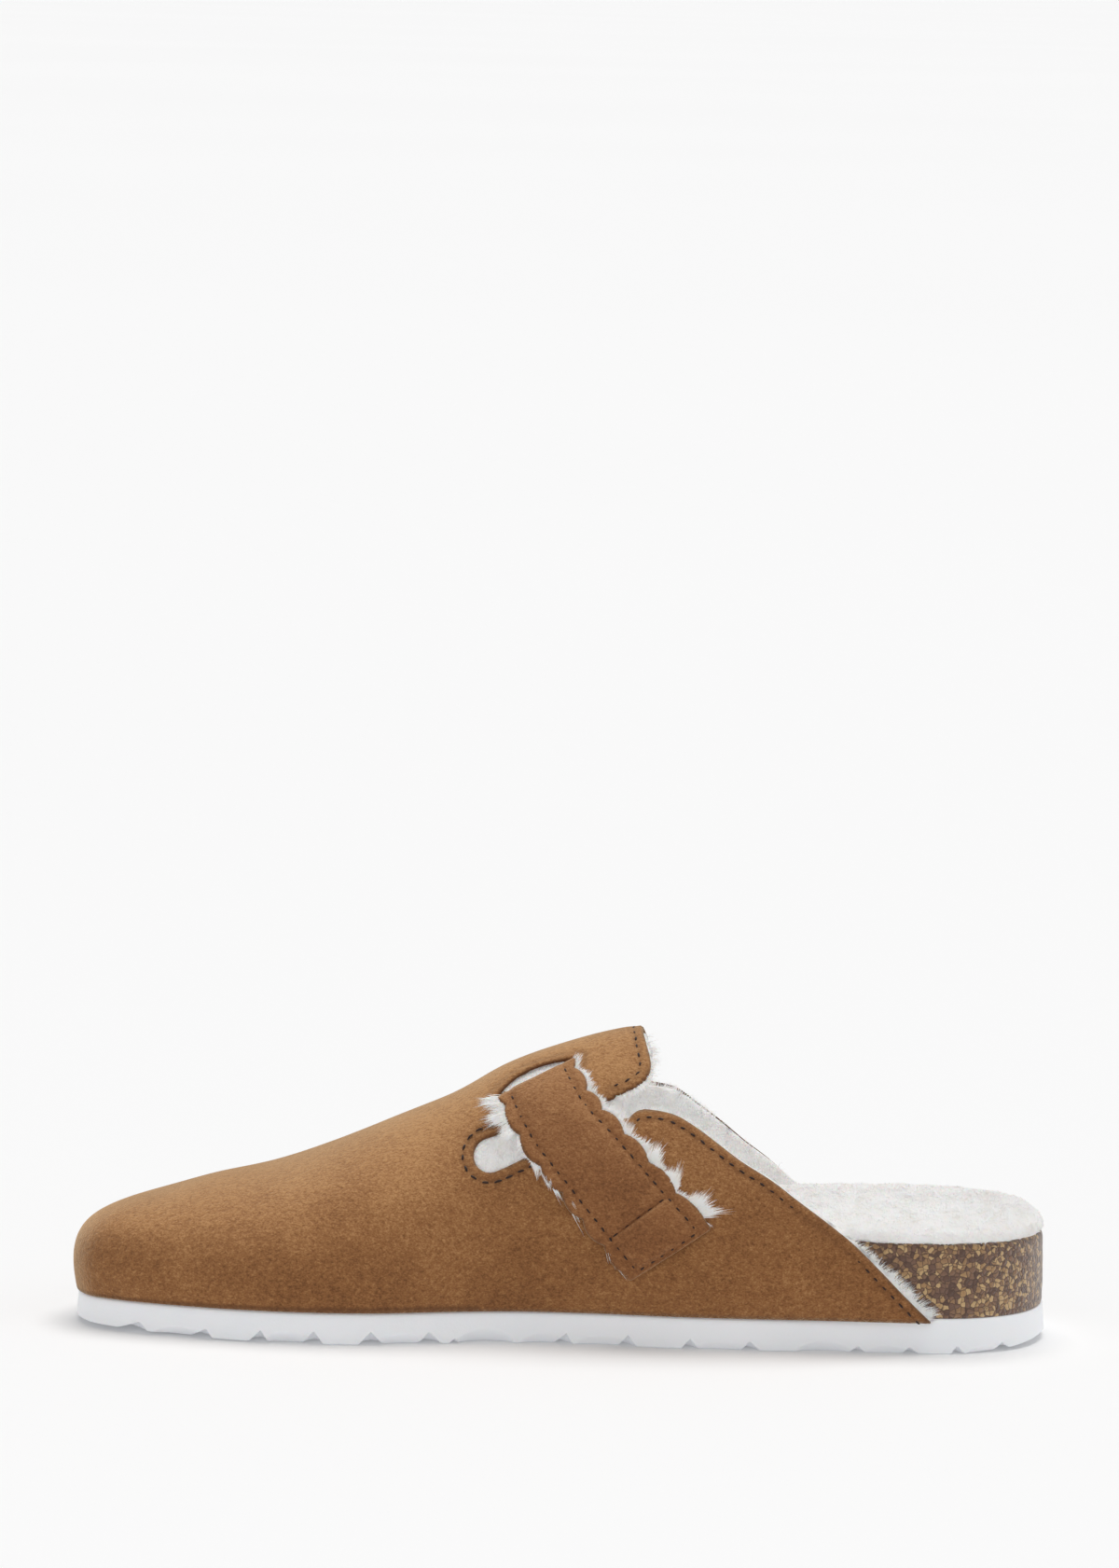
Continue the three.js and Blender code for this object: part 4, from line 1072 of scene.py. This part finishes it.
def make_lining():
    """The fleece inside the suede, a little past its cut edges, lumpy on its open face."""
    def inner(flat, field, span):
        return -4.2 + clumps(flat, 6.0, 21) * 0.45 + clumps(flat, 3.0, 22) * 0.3
    points, faces, field, outer = shell(
        2.1, 0.7, lambda f, d, s: np.full(len(f), -SUEDE - 0.03), inner, 1.25, False
    )
    made = piece("fleece_lining", points, faces, LINING_FLEECE, "upper")
    return points, faces, outer


# The strap

def strap_lift(run):
    """Height of the strap's middle over the upper's face: under the tongue between the slots and
    on top of the suede outside them, by a smooth step at each slot."""
    inside, outside = -2.4, GAP + STRAP_THICKNESS / 2
    share = smooth((np.abs(run) - SLOT_RUN) * STRAP_RUN / 4.6 + 0.5)
    return mix(inside, outside, share)


def strap_edge(run):
    """Half the strap's width with its scallops: SCALLOP_DEPTH (|sin|^0.7 - 1) + 0.4, the
    last one 12 mm long, and corners of 1 mm."""
    end = np.maximum(STRAP_END - np.abs(run), 0) * STRAP_RUN
    turn = math.pi * (np.minimum(end / END_LOBE, 1) + np.maximum(end - END_LOBE, 0) / SCALLOP_PITCH)
    wave = SCALLOP_DEPTH * (np.abs(np.sin(turn)) ** 0.7 - 1) + 0.4
    left = np.clip(end, 0, 1.0)
    corner = 1.0 - np.sqrt(1.0 - (1.0 - left) ** 2)
    return strap_half(run) + wave * smooth(end / 3.0) - corner


BOX_LENGTH = 12.4  # of the sewn box at each end
SEAM = 3.0  # from the strap's edge to its groove of stitches
SEAM_HALF = 0.4  # from the groove's edge to the stitches
END_SEAM = 1.2  # from its end to the last row


def strap_point(run, off, high):
    """A point of the strap at run, off mm from its middle and high mm over its middle sheet."""
    x, girth = strap_place(run, off)
    return on_upper(x, girth, strap_lift(run) + high)


def strap_crown(run, off):
    """Lift of the strap's top: a low crown between the stitch lines, more in the sewn boxes, and
    grooves 0.4 mm deep along the stitches. A stitch on a box's border counts as inside the box,
    whatever the rounding: on_line is far above rounding and far below anything seen."""
    on_line = 1e-6
    half = strap_half(run) - SEAM - SEAM_HALF
    end = (STRAP_END - np.abs(run)) * STRAP_RUN
    boxed = np.clip((end - END_SEAM) * (BOX_LENGTH - end) / ((BOX_LENGTH - END_SEAM) / 2) ** 2, 0, 1)
    across = np.clip(1 - (off / half) ** 2, 0, 1)
    crown = np.where(end < BOX_LENGTH + on_line, 1.15 * np.sqrt(boxed) * across**0.6, 0.7 * across**0.8)
    near_seam = np.exp(-(((np.abs(off) - half) / 0.5) ** 2))
    near_end = np.exp(-(((end - END_SEAM) / 0.5) ** 2)) * (np.abs(off) < half)
    near_box = np.exp(-(((end - BOX_LENGTH) / 0.5) ** 2)) * (np.abs(off) < half)
    groove = np.maximum(near_seam * (end > END_SEAM - on_line), np.maximum(near_end, near_box))
    return crown * smooth((np.abs(run) - 0.17) / 0.1) - 0.4 * groove, groove


def make_strap():
    """The strap: a loop of points round its section at each place along its run, thin and round
    at its edges."""
    end = np.array([0.0, 0.08, 0.25, 0.5, 0.9, 1.4])
    tail = STRAP_END - end / STRAP_RUN
    body = np.linspace(-tail[-1], tail[-1], 330)
    run = np.concatenate([-tail[:-1], body, tail[:-1][::-1]])
    edge = np.array([0.92, 0.96, 0.99, 1])
    across = np.concatenate([-edge[::-1], np.linspace(-0.86, 0.86, 23), edge])
    left = np.clip((STRAP_END - np.abs(run)) * STRAP_RUN, 0, 0.9)
    thin = np.sqrt(np.clip(1 - ((0.9 - left) / 0.9) ** 2, 0.02, 1))
    rows, shades = [], []
    for sign in (1, -1):
        e = across[::sign]
        r, c = np.meshgrid(run, e, indexing="ij")
        w = strap_edge(r)
        off = w * c
        d = np.clip(w * (1 - np.abs(c)), 0, 0.9)
        round_off = np.sqrt(np.clip(1 - ((0.9 - d) / 0.9) ** 2, 0, 1))
        high = sign * STRAP_THICKNESS / 2 * round_off * thin[:, None]
        crown, groove = strap_crown(r, off)
        if sign > 0:
            high = high + crown * round_off * thin[:, None]
        points = strap_point(r, off, high)[0]
        shade = np.clip(1 - d / 0.6, 0, 1) * 0.8
        # painted shade: slightly darker in the grooves along the stitches; the underside takes the edge
        # colour
        shade = np.maximum(shade, 0.1 * groove if sign > 0 else 1.0)
        rows.append(points if sign > 0 else points[:, 1:-1])
        shades.append(shade if sign > 0 else shade[:, 1:-1])
    loop = np.concatenate(rows, 1)
    n, m = loop.shape[:2]
    quads = grid_faces(n, m, loop_columns=True)
    flat = loop.reshape(-1, 3)
    k = np.arange(1, m - 1)
    cap = np.stack([k * 0, k, k + 1], 1)
    tri = np.concatenate([triangles_of(quads), cap, cap[:, ::-1] + (n - 1) * m])
    # painted top light: how far each point faces up, which lightens the strap's colour
    crown = smooth((vertex_normals(flat, tri)[:, 2] - 0.1) / 0.7)
    layers = {"rim": np.concatenate(shades, 1).ravel(), "crown": crown}
    return piece("scalloped_strap", flat, tri, STRAP_SUEDE, "strap", ["strap"], layers)


# Stitches

def stitches_on(line, normals, seed):
    """One small rounded bar per stitch along a line: five rings of six points round
    p + T s + N (0.12 - 0.3 (s / half)^2), with s from end to end, and a tip at each end."""
    rng = np.random.default_rng(seed)
    run = run_of(line)
    count = max(2, int(run[-1] / STITCH_PITCH))
    at = (np.arange(count) + 0.5) * run[-1] / count + rng.uniform(-0.12, 0.12, count)
    middle, n = read_at(line, run, at), unit(read_at(normals, run, at))
    along = unit(read_at(line, run, at + 0.6) - read_at(line, run, at - 0.6))
    aside = unit(np.cross(n, along))
    along = unit(along + aside * rng.normal(0, 0.08, (count, 1)))
    half = STITCH_LENGTH / 2 * rng.uniform(0.88, 1.08, count)
    share = np.array([-0.94, -0.6, 0.0, 0.6, 0.94])
    radius = np.array([0.15, 0.28, 0.33, 0.28, 0.15])
    turn = np.arange(6) * math.pi / 3
    rings = []
    for s, r in zip(share, radius):
        centre = middle + along * (s * half)[:, None] + n * (0.12 - 0.3 * s * s)
        for t in turn:
            rings.append(centre + aside * (r * math.cos(t)) + n * (r * 0.8 * math.sin(t)))
    for s in (-1.08, 1.08):
        rings.append(middle + along * (s * half)[:, None] + n * (0.12 - 0.36 * s * s))
    points = np.stack(rings, 1)
    quads = grid_faces(5, 6, loop_columns=True)
    k = np.arange(6)
    tri = np.concatenate([
        triangles_of(quads),
        np.stack([np.full(6, 30), k, (k + 1) % 6], 1),
        np.stack([np.full(6, 31), 24 + (k + 1) % 6, 24 + k], 1),
    ])
    return points.reshape(-1, 3), (tri[None] + np.arange(count)[:, None, None] * 32).reshape(-1, 3)


def joined(parts):
    """Several (points, faces) as one."""
    starts = np.cumsum([0] + [len(points) for points, _ in parts])
    faces = [faces + start for (_, faces), start in zip(parts, starts)]
    return np.concatenate([points for points, _ in parts]), np.concatenate(faces)


def edge_frame(flat, side):
    """For a flat (x, z) line with the opening on its left: its points on the upper, the surface
    normals there, the way out into the opening, the line's left and the surface's stretch."""
    step = np.gradient(flat, axis=0)
    left = unit(np.stack([-step[:, 1], step[:, 0]], 1))
    point, normal = on_upper(flat[:, 0], girth_at(flat[:, 0], flat[:, 1], side))
    near = flat - left * 1.5
    back = on_upper(near[:, 0], girth_at(near[:, 0], near[:, 1], side))[0]
    out = unit(point - back)
    return point, normal, out, left, np.linalg.norm(point - back, axis=1) / 1.5


def inside_line(flat, side, gap):
    """The line on the upper that lies gap mm inside a cut edge, and its normals: the edge is
    moved in (x, z) by gap over the surface's own stretch there."""
    flat = resample(flat, 0.8)
    left, stretch = edge_frame(flat, side)[3:]
    kernel = np.ones(5) / 5
    stretch = np.convolve(np.pad(stretch, 2, mode="edge"), kernel, "valid")
    moved = flat - left * (gap / np.maximum(stretch, 0.5))[:, None]
    point, normal = on_upper(moved[:, 0], girth_at(moved[:, 0], moved[:, 1], side))
    keep = np.concatenate([[True], np.linalg.norm(np.diff(point, axis=0), axis=1) > 0.05])
    return point[keep], normal[keep]


def make_stitches():
    """Stitches along the quarters, the tongue and the keyholes, and round the strap."""
    parts = []
    for side in (-1, 1):
        tongue, hole, quarter = collar_lines(side)
        edges = ((quarter, QUARTER_SEAM), (tongue, TONGUE_SEAM), (hole[4:-3], TONGUE_SEAM))
        for k, (edge, gap) in enumerate(edges):
            line, normal = inside_line(edge, side, gap)
            parts.append(stitches_on(line - normal * SEAM_SINK, normal, 100 + 10 * k + side))
    piece("upper_stitches", *joined(parts), THREAD, "upper")
    parts = []
    last = STRAP_END - END_SEAM / STRAP_RUN
    box = STRAP_END - BOX_LENGTH / STRAP_RUN
    for side in (-1, 1):
        for edge in (-1, 1):
            run = side * np.linspace(0.205, last, 160)
            off = edge * (strap_half(run) - SEAM - SEAM_HALF) * side
            parts.append(strap_line(run, off, 200 + side + 3 * edge))
        for place, seed in ((last, 230), (box, 240)):
            half = strap_half(place) - SEAM - SEAM_HALF
            off = np.linspace(-half, half, 40)
            parts.append(strap_line(np.full(40, side * place), off, seed + side))
    piece("strap_stitches", *joined(parts), THREAD, "strap")


def strap_line(run, off, seed):
    """Stitches along places on the strap."""
    crown = strap_crown(run, off)[0]
    point, normal = strap_point(run, off, STRAP_THICKNESS / 2 + crown)
    return stitches_on(point, normal, seed)


# Wool

def hairs(roots, aims, sags, lengths, widths):
    """Three-sided hairs: p(t) = root + aim L t + sag L t^2 at t = 0, 0.4 and 0.75 with radius
    w (1 - t)^0.6, closed by a face at the root and by a tip at t = 1."""
    n = len(roots)
    lengths = np.asarray(lengths)[:, None]
    side = unit(np.cross(aims, np.where(np.abs(aims[:, 2:]) < 0.8, [[0.0, 0, 1]], [[1.0, 0, 0]])))
    other = np.cross(unit(aims), side)
    points = []
    for t in (0.0, 0.4, 0.75):
        centre = roots + (aims * t + sags * t * t) * lengths
        r = np.asarray(widths)[:, None] * (1 - t) ** 0.6
        for turn in (0.0, 2 * math.pi / 3, 4 * math.pi / 3):
            points.append(centre + (side * math.cos(turn) + other * math.sin(turn)) * r)
    points.append(roots + (aims + sags) * lengths)
    points = np.stack(points, 1).reshape(-1, 3)
    faces = [[0, 2, 1]]
    for ring in (0, 3):
        for k in range(3):
            a, b = ring + k, ring + (k + 1) % 3
            faces += [[a, b, b + 3], [a, b + 3, a + 3]]
    faces += [[6 + k, 6 + (k + 1) % 3, 9] for k in range(3)]
    faces = np.array(faces)
    return points, (faces[None] + np.arange(n)[:, None, None] * 10).reshape(-1, 3)


def pile(points, faces, count, length, comb, seed, keep):
    """Hairs all over the faces that keep() picks: rooted at even random places, aimed along the
    face's normal plus the comb's way and a drift shared by clumps of about 5 mm."""
    rng = np.random.default_rng(seed)
    faces = faces[keep(points[faces].mean(1))]
    a, b, c = (points[faces[:, k]] for k in range(3))
    cross = np.cross(b - a, c - a)
    area = np.linalg.norm(cross, axis=1)
    pick = rng.choice(len(faces), count, p=area / area.sum())
    s, t = rng.random(count), rng.random(count)
    over = s + t > 1
    s, t = np.where(over, 1 - s, s), np.where(over, 1 - t, t)
    root = a[pick] + (b - a)[pick] * s[:, None] + (c - a)[pick] * t[:, None]
    normal = unit(cross[pick])
    drift = np.stack([clumps(root, 5.0, seed + k) for k in (1, 2, 3)], 1)
    aim = unit(normal * 0.8 + np.asarray(comb) * 0.5 + drift * 0.7 + rng.normal(0, 0.22, (count, 3)))
    aim = np.where((aim * normal).sum(1)[:, None] < 0.15, unit(aim + normal * 0.8), aim)
    size = length * rng.uniform(0.55, 1.15, count)
    sag = np.stack([drift[:, 0] * 0.2, drift[:, 1] * 0.2, np.full(count, -0.18)], 1)
    return hairs(root - normal * 0.3, aim, sag, size, rng.uniform(0.07, 0.13, count))


def lock(spot, out, along, up, lean, length, count, root, fan, seed):
    """One lock of wool: count hairs with their roots even over a width of root along the edge,
    which open to fan times that width. A hair at s from -1 to 1 across the lock is
    length (1 - 0.5 |s|^1.5) long, one in eight a third longer; lean is the shares of out, along
    and up in its way."""
    rng = np.random.default_rng(seed)
    s = rng.uniform(-1, 1, (count, 1))
    way = unit(out * lean[0] + along * lean[1] + up * lean[2])
    size = length * (1 - 0.5 * np.abs(s) ** 1.5) * rng.uniform(0.55, 1.08, (count, 1))
    size = size * np.where(rng.random((count, 1)) < 0.12, 1.33, 1.0)
    across = along * s * root / 2
    deep = rng.uniform(-0.9, 0.2, (count, 1))
    start = spot + across + out * deep + up * rng.normal(0, 0.25, (count, 1))
    loose = rng.normal(0, 0.09, (count, 1)) * along + rng.normal(0, 0.07, (count, 1)) * up
    aim = way + across * (fan - 1) / length + loose
    bend = up * rng.normal(-0.08, 0.08, (count, 1)) + along * rng.normal(0, 0.1, (count, 1))
    return hairs(start, aim - bend * 0.5, bend, size[:, 0], rng.uniform(0.065, 0.115, count))


# tufts at the strap's edges: run, edge (-1 to the toe, 1 to the heel), then the lean out, along
# the strap and up, length, count, width at the root and how far it opens
TUFTS = np.array([
    [0.215, 1, 1.0, -0.35, 0.5, 4.6, 90, 3.0, 1.3], [0.31, 1, 1.0, -0.2, 0.45, 4.0, 90, 3.0, 1.2],
    [0.39, 1, 1.0, -0.3, 0.4, 3.4, 60, 3.5, 1.1], [0.5, 1, 1.0, 0.1, 0.4, 4.2, 110, 6.0, 1.1],
    [0.57, 1, 1.0, -0.35, 0.5, 6.4, 40, 5.0, 1.2], [0.62, 1, 1.0, -0.2, 0.5, 5.0, 70, 4.0, 1.2],
    [0.69, 1, 1.0, -0.15, 0.45, 4.4, 110, 5.0, 1.2], [0.745, 1, 1.0, -0.4, 0.5, 6.8, 260, 4.6, 1.25],
    [0.815, 1, 1.0, -0.35, 0.45, 4.8, 120, 4.4, 1.1], [0.84, 1, 1.0, -0.55, 0.5, 7.8, 70, 2.2, 1.6],
    [0.925, 1, 1.0, 0.0, 0.45, 6.6, 260, 5.0, 1.5], [0.945, 1, 1.0, 0.5, 0.4, 8.2, 130, 2.6, 1.6],
    [0.975, 1, 0.5, 1.0, 0.3, 4.0, 14, 0.7, 1.0],
    [0.165, -1, 1.0, -0.5, 0.5, 5.6, 120, 2.6, 1.3], [0.21, -1, 1.0, -0.15, 0.5, 7.8, 260, 3.8, 1.5],
    [0.265, -1, 1.0, 0.05, 0.45, 8.4, 280, 4.4, 1.5], [0.315, -1, 1.0, 0.35, 0.4, 7.4, 200, 3.6, 1.4],
    [0.37, -1, 0.9, 0.7, 0.3, 5.0, 90, 3.6, 1.2], [0.45, -1, 0.6, 1.0, 0.3, 5.4, 120, 3.4, 0.9],
    [0.5, -1, 0.5, 1.0, 0.25, 6.4, 110, 2.6, 0.8], [0.55, -1, 0.3, 1.0, 0.25, 6.4, 60, 1.8, 0.6],
    [0.605, -1, 0.15, 1.0, 0.2, 6.6, 26, 1.2, 0.4], [0.66, -1, 0.25, 1.0, 0.2, 6.6, 16, 0.8, 0.4],
    [0.72, -1, 0.05, 1.0, 0.2, 5.0, 9, 0.6, 0.4], [0.85, -1, 0.45, 1.0, 0.2, 6.2, 26, 1.0, 0.5],
    [0.91, -1, 0.1, 1.0, 0.2, 6.4, 22, 1.0, 0.4],
])


def strap_frame(run, edge):
    """On the strap's edge: the spot under it, the way out, the way on to the sewn end and up."""
    side = np.sign(run)
    off = edge * (strap_edge(run) - 0.7)
    spot, up = strap_point(run, off, -0.5)
    further = strap_point(run, off * 1.15, -0.5)[0]
    ahead = strap_point(run + side * 0.02, off, -0.5)[0]
    return spot, unit(further - spot), unit(ahead - spot), up


def make_strap_wool():
    """Wool that comes out from under the strap: the tufts of the table, and a short fringe."""
    rng = np.random.default_rng(31)
    parts = []
    for side in (-1, 1):
        rows = TUFTS if side < 0 else TUFTS[TUFTS[:, 0] > 0.3]
        spot, out, along, up = strap_frame(side * rows[:, 0], rows[:, 1])
        for k, row in enumerate(rows):
            length, seed = row[5] * (1.0 if side < 0 else 0.7), 300 + 7 * k + side
            place = (spot[k], out[k], along[k], up[k])
            parts.append(lock(*place, row[2:5], length, int(row[6]), row[7], row[8], seed))
        for edge, first, last, dense, size in ((1, 0.2, 0.93, 2600, 2.6), (-1, 0.19, 0.5, 900, 2.0)):
            run = side * rng.uniform(first, last, dense)
            spot, out, along, up = strap_frame(run, np.full(dense, edge))
            drift = clumps(spot, 4.0, 33 + edge)[:, None]
            aim = unit(out + along * drift * 0.8 + up * 0.3 + rng.normal(0, 0.22, (dense, 3)))
            length = size * rng.uniform(0.4, 1.2, dense) * (0.85 + 0.35 * drift[:, 0])
            parts.append(hairs(spot, aim, up * 0.1, length, rng.uniform(0.06, 0.11, dense)))
    piece("strap_wool", *joined(parts), WOOL, "strap")


def fringe(flat, side, dense, length, lift, lean, seed, back=0.6):
    """Wool along a cut edge of the upper: dense hairs per mm, rooted back mm inside it and lift
    mm over the suede, leaning out into the opening and by lean along the normal."""
    rng = np.random.default_rng(seed)
    flat = resample(flat, 0.5)
    point, normal, out = edge_frame(flat, side)[:3]
    run = run_of(point)
    n = int(run[-1] * dense)
    at = rng.uniform(0, run[-1], n)
    p, up, out = (read_at(v, run, at) for v in (point, normal, out))
    up, out = unit(up), unit(out)
    along = np.cross(up, out)
    depth = rng.uniform(-0.5, 0.5, n)[:, None]
    root = p - out * back + up * (lift + depth)
    drift = clumps(root, 4.5, seed + 1)[:, None]
    way = unit(out + along * drift * 0.7 + up * lean + rng.normal(0, 0.22, (n, 3)))
    size = (length(p) if callable(length) else length) * rng.uniform(0.5, 1.15, n)
    return hairs(root, way, out * 0.1 - [[0, 0, 0.12]], size, rng.uniform(0.06, 0.12, n))


def make_edge_wool():
    """Wool along the upper's cut edges: a thick band down the quarters, a light one round the
    tongue, and a fill in the slits, the keyholes and the slots."""
    parts = []
    for side in (-1, 1):
        tongue, hole, quarter = collar_lines(side)
        band = lambda p: mix(4.6, 1.5, smooth((p[:, 2] - 12) / 34))
        parts.append(fringe(quarter[24:], side, 26, band, -2.6, -0.25, 400 + side, 1.0))
        rise = 0.1 if side < 0 else 0.9
        parts.append(fringe(quarter[:24], side, 14, 2.4, -2.2, rise, 404 + side))
        parts.append(fringe(tongue, side, 8, 1.1, -2.4, -0.6, 408 + side))
        parts.append(fringe(tongue[-14:], side, 12, 3.6, -1.2, 0.45, 412 + side))
        parts.append(fringe(hole, side, 16, 3.4, -1.7, 0.05, 416 + side, 0.2))
        rng = np.random.default_rng(430 + side)
        run = side * (SLOT_RUN - rng.uniform(0.0, 0.045, 260))
        x, girth = strap_place(run, rng.uniform(-1, 1, 260) * STRAP_TOP_WIDTH / 2)
        spot, up = on_upper(x, girth, -1.7)
        way = unit(up + rng.normal(0, 0.6, (260, 3)))
        parts.append(hairs(spot, way, up * 0.1, rng.uniform(0.6, 1.3, 260), rng.uniform(0.06, 0.1, 260)))
    piece("edge_wool", *joined(parts), WOOL, "upper")


# Put together

make_outsole()
make_footbed()
insole_points, insole_faces = make_insole()
make_upper()
lining_points, lining_faces, lining_outer = make_lining()
make_strap()
make_stitches()
make_strap_wool()
make_edge_wool()

inner_faces = lining_faces[(lining_outer[lining_faces] < 0.5).all(1)]
if vertex_normals(lining_points, lining_faces)[inner_faces[0, 0]] @ np.cross(
    lining_points[inner_faces[0, 1]] - lining_points[inner_faces[0, 0]],
    lining_points[inner_faces[0, 2]] - lining_points[inner_faces[0, 0]],
) < 0:
    inner_faces = inner_faces[:, ::-1]
piece("lining_pile", *pile(
    lining_points, inner_faces, 9000, 3.4, (0.5, 0.0, 0.2), 51, lambda p: p[:, 0] > LENGTH * 0.42
), WOOL, "upper")
top_of = lambda p: (p[:, 0] > LENGTH * 0.4) & (p[:, 2] > bed_height(p[:, 0], np.sign(p[:, 1] - 1), 0.0) + 3)
piece("insole_pile", *pile(
    insole_points, insole_faces, 11000, 1.5, (0.6, 0.0, -0.2), 61, top_of
), WOOL, "insole")


# Floor, light and camera

FLOOR_RADIUS = 400  # metres
STUDIO_GLOW = 0.27
CAMERA_TILT, CAMERA_ROLL, CAMERA_FAR = 6.3, 1.4, 2000.0  # degrees, degrees, mm
CAMERA_TARGET, CAMERA_RISE = (0.12, -37.92, 0.0), 150.3  # the middle of the view stands over it


def make_floor():
    """A round pale floor, wide enough to fill the view to its horizon."""
    turn = np.linspace(0, 2 * math.pi, 65)[:-1]
    ring = np.stack([np.cos(turn) * FLOOR_RADIUS, np.sin(turn) * FLOOR_RADIUS, turn * 0], 1)
    mesh = bpy.data.meshes.new("floor")
    mesh.from_pydata(ring.tolist(), [], [list(range(64))])
    floor = bpy.data.objects.new("floor", mesh)
    bpy.context.scene.collection.objects.link(floor)
    paper = Finish("paper", Roughness=0.9, Specular_IOR_Level=0.1)
    cloud = paper.noise(3.0, 1.0)
    shade = paper.ramp(cloud, [(0.3, tone(246, 246, 246)), (0.7, tone(247, 247, 247))])
    mesh.materials.append(paper.done(shade))


def make_sun(name, way, strength, angle):
    """A wide, soft light that comes from the direction way."""
    lamp = bpy.data.lights.new(name, "SUN")
    lamp.energy = strength
    lamp.angle = math.radians(angle)
    made = bpy.data.objects.new(name, lamp)
    x, y, z = unit(np.array(way, float))
    side = unit(np.cross([0.0, 0.0, 1.0], [x, y, z]))
    over = np.cross([x, y, z], side)
    made.matrix_world = Matrix([[side[k], over[k], (x, y, z)[k], 0.0] for k in range(3)] + [[0, 0, 0, 1]])
    bpy.context.scene.collection.objects.link(made)


def make_camera():
    """The photograph's place and angle, with its slight roll."""
    tilt, roll, far = math.radians(CAMERA_TILT), math.radians(CAMERA_ROLL), CAMERA_FAR
    ahead = np.array([0.0, math.cos(tilt), -math.sin(tilt)])
    level, raised = np.array([1.0, 0.0, 0.0]), np.array([0.0, math.sin(tilt), math.cos(tilt)])
    right = math.cos(roll) * level + math.sin(roll) * raised
    over = -math.sin(roll) * level + math.cos(roll) * raised
    target = np.array(CAMERA_TARGET) + CAMERA_RISE * over
    spot = (target - far * ahead) / 1000.0
    camera = bpy.data.cameras.new("camera")
    camera.sensor_fit = "AUTO"
    camera.sensor_width = 36.0
    camera.lens = 36.0 * 4 * far / 1681
    camera.clip_end = 1000.0
    made = bpy.data.objects.new("camera", camera)
    made.matrix_world = Matrix([[right[k], over[k], -ahead[k], spot[k]] for k in range(3)] + [[0, 0, 0, 1]])
    bpy.context.scene.collection.objects.link(made)
    bpy.context.scene.camera = made


make_floor()
world = bpy.data.worlds.new("studio")
world.use_nodes = True
world.node_tree.nodes["Background"].inputs["Color"].default_value = (1.0, 1.0, 1.0, 1.0)
world.node_tree.nodes["Background"].inputs["Strength"].default_value = STUDIO_GLOW
bpy.context.scene.world = world
make_sun("key", (0.08, 0.25, 1.0), 2.18, 48)
make_sun("side", (0.75, -0.25, 0.6), 0.26, 60)
make_sun("front", (-0.45, -0.8, 0.3), 0.46, 80)
make_camera()
bpy.context.scene.view_settings.view_transform = "Standard"
bpy.context.scene.view_settings.look = "None"
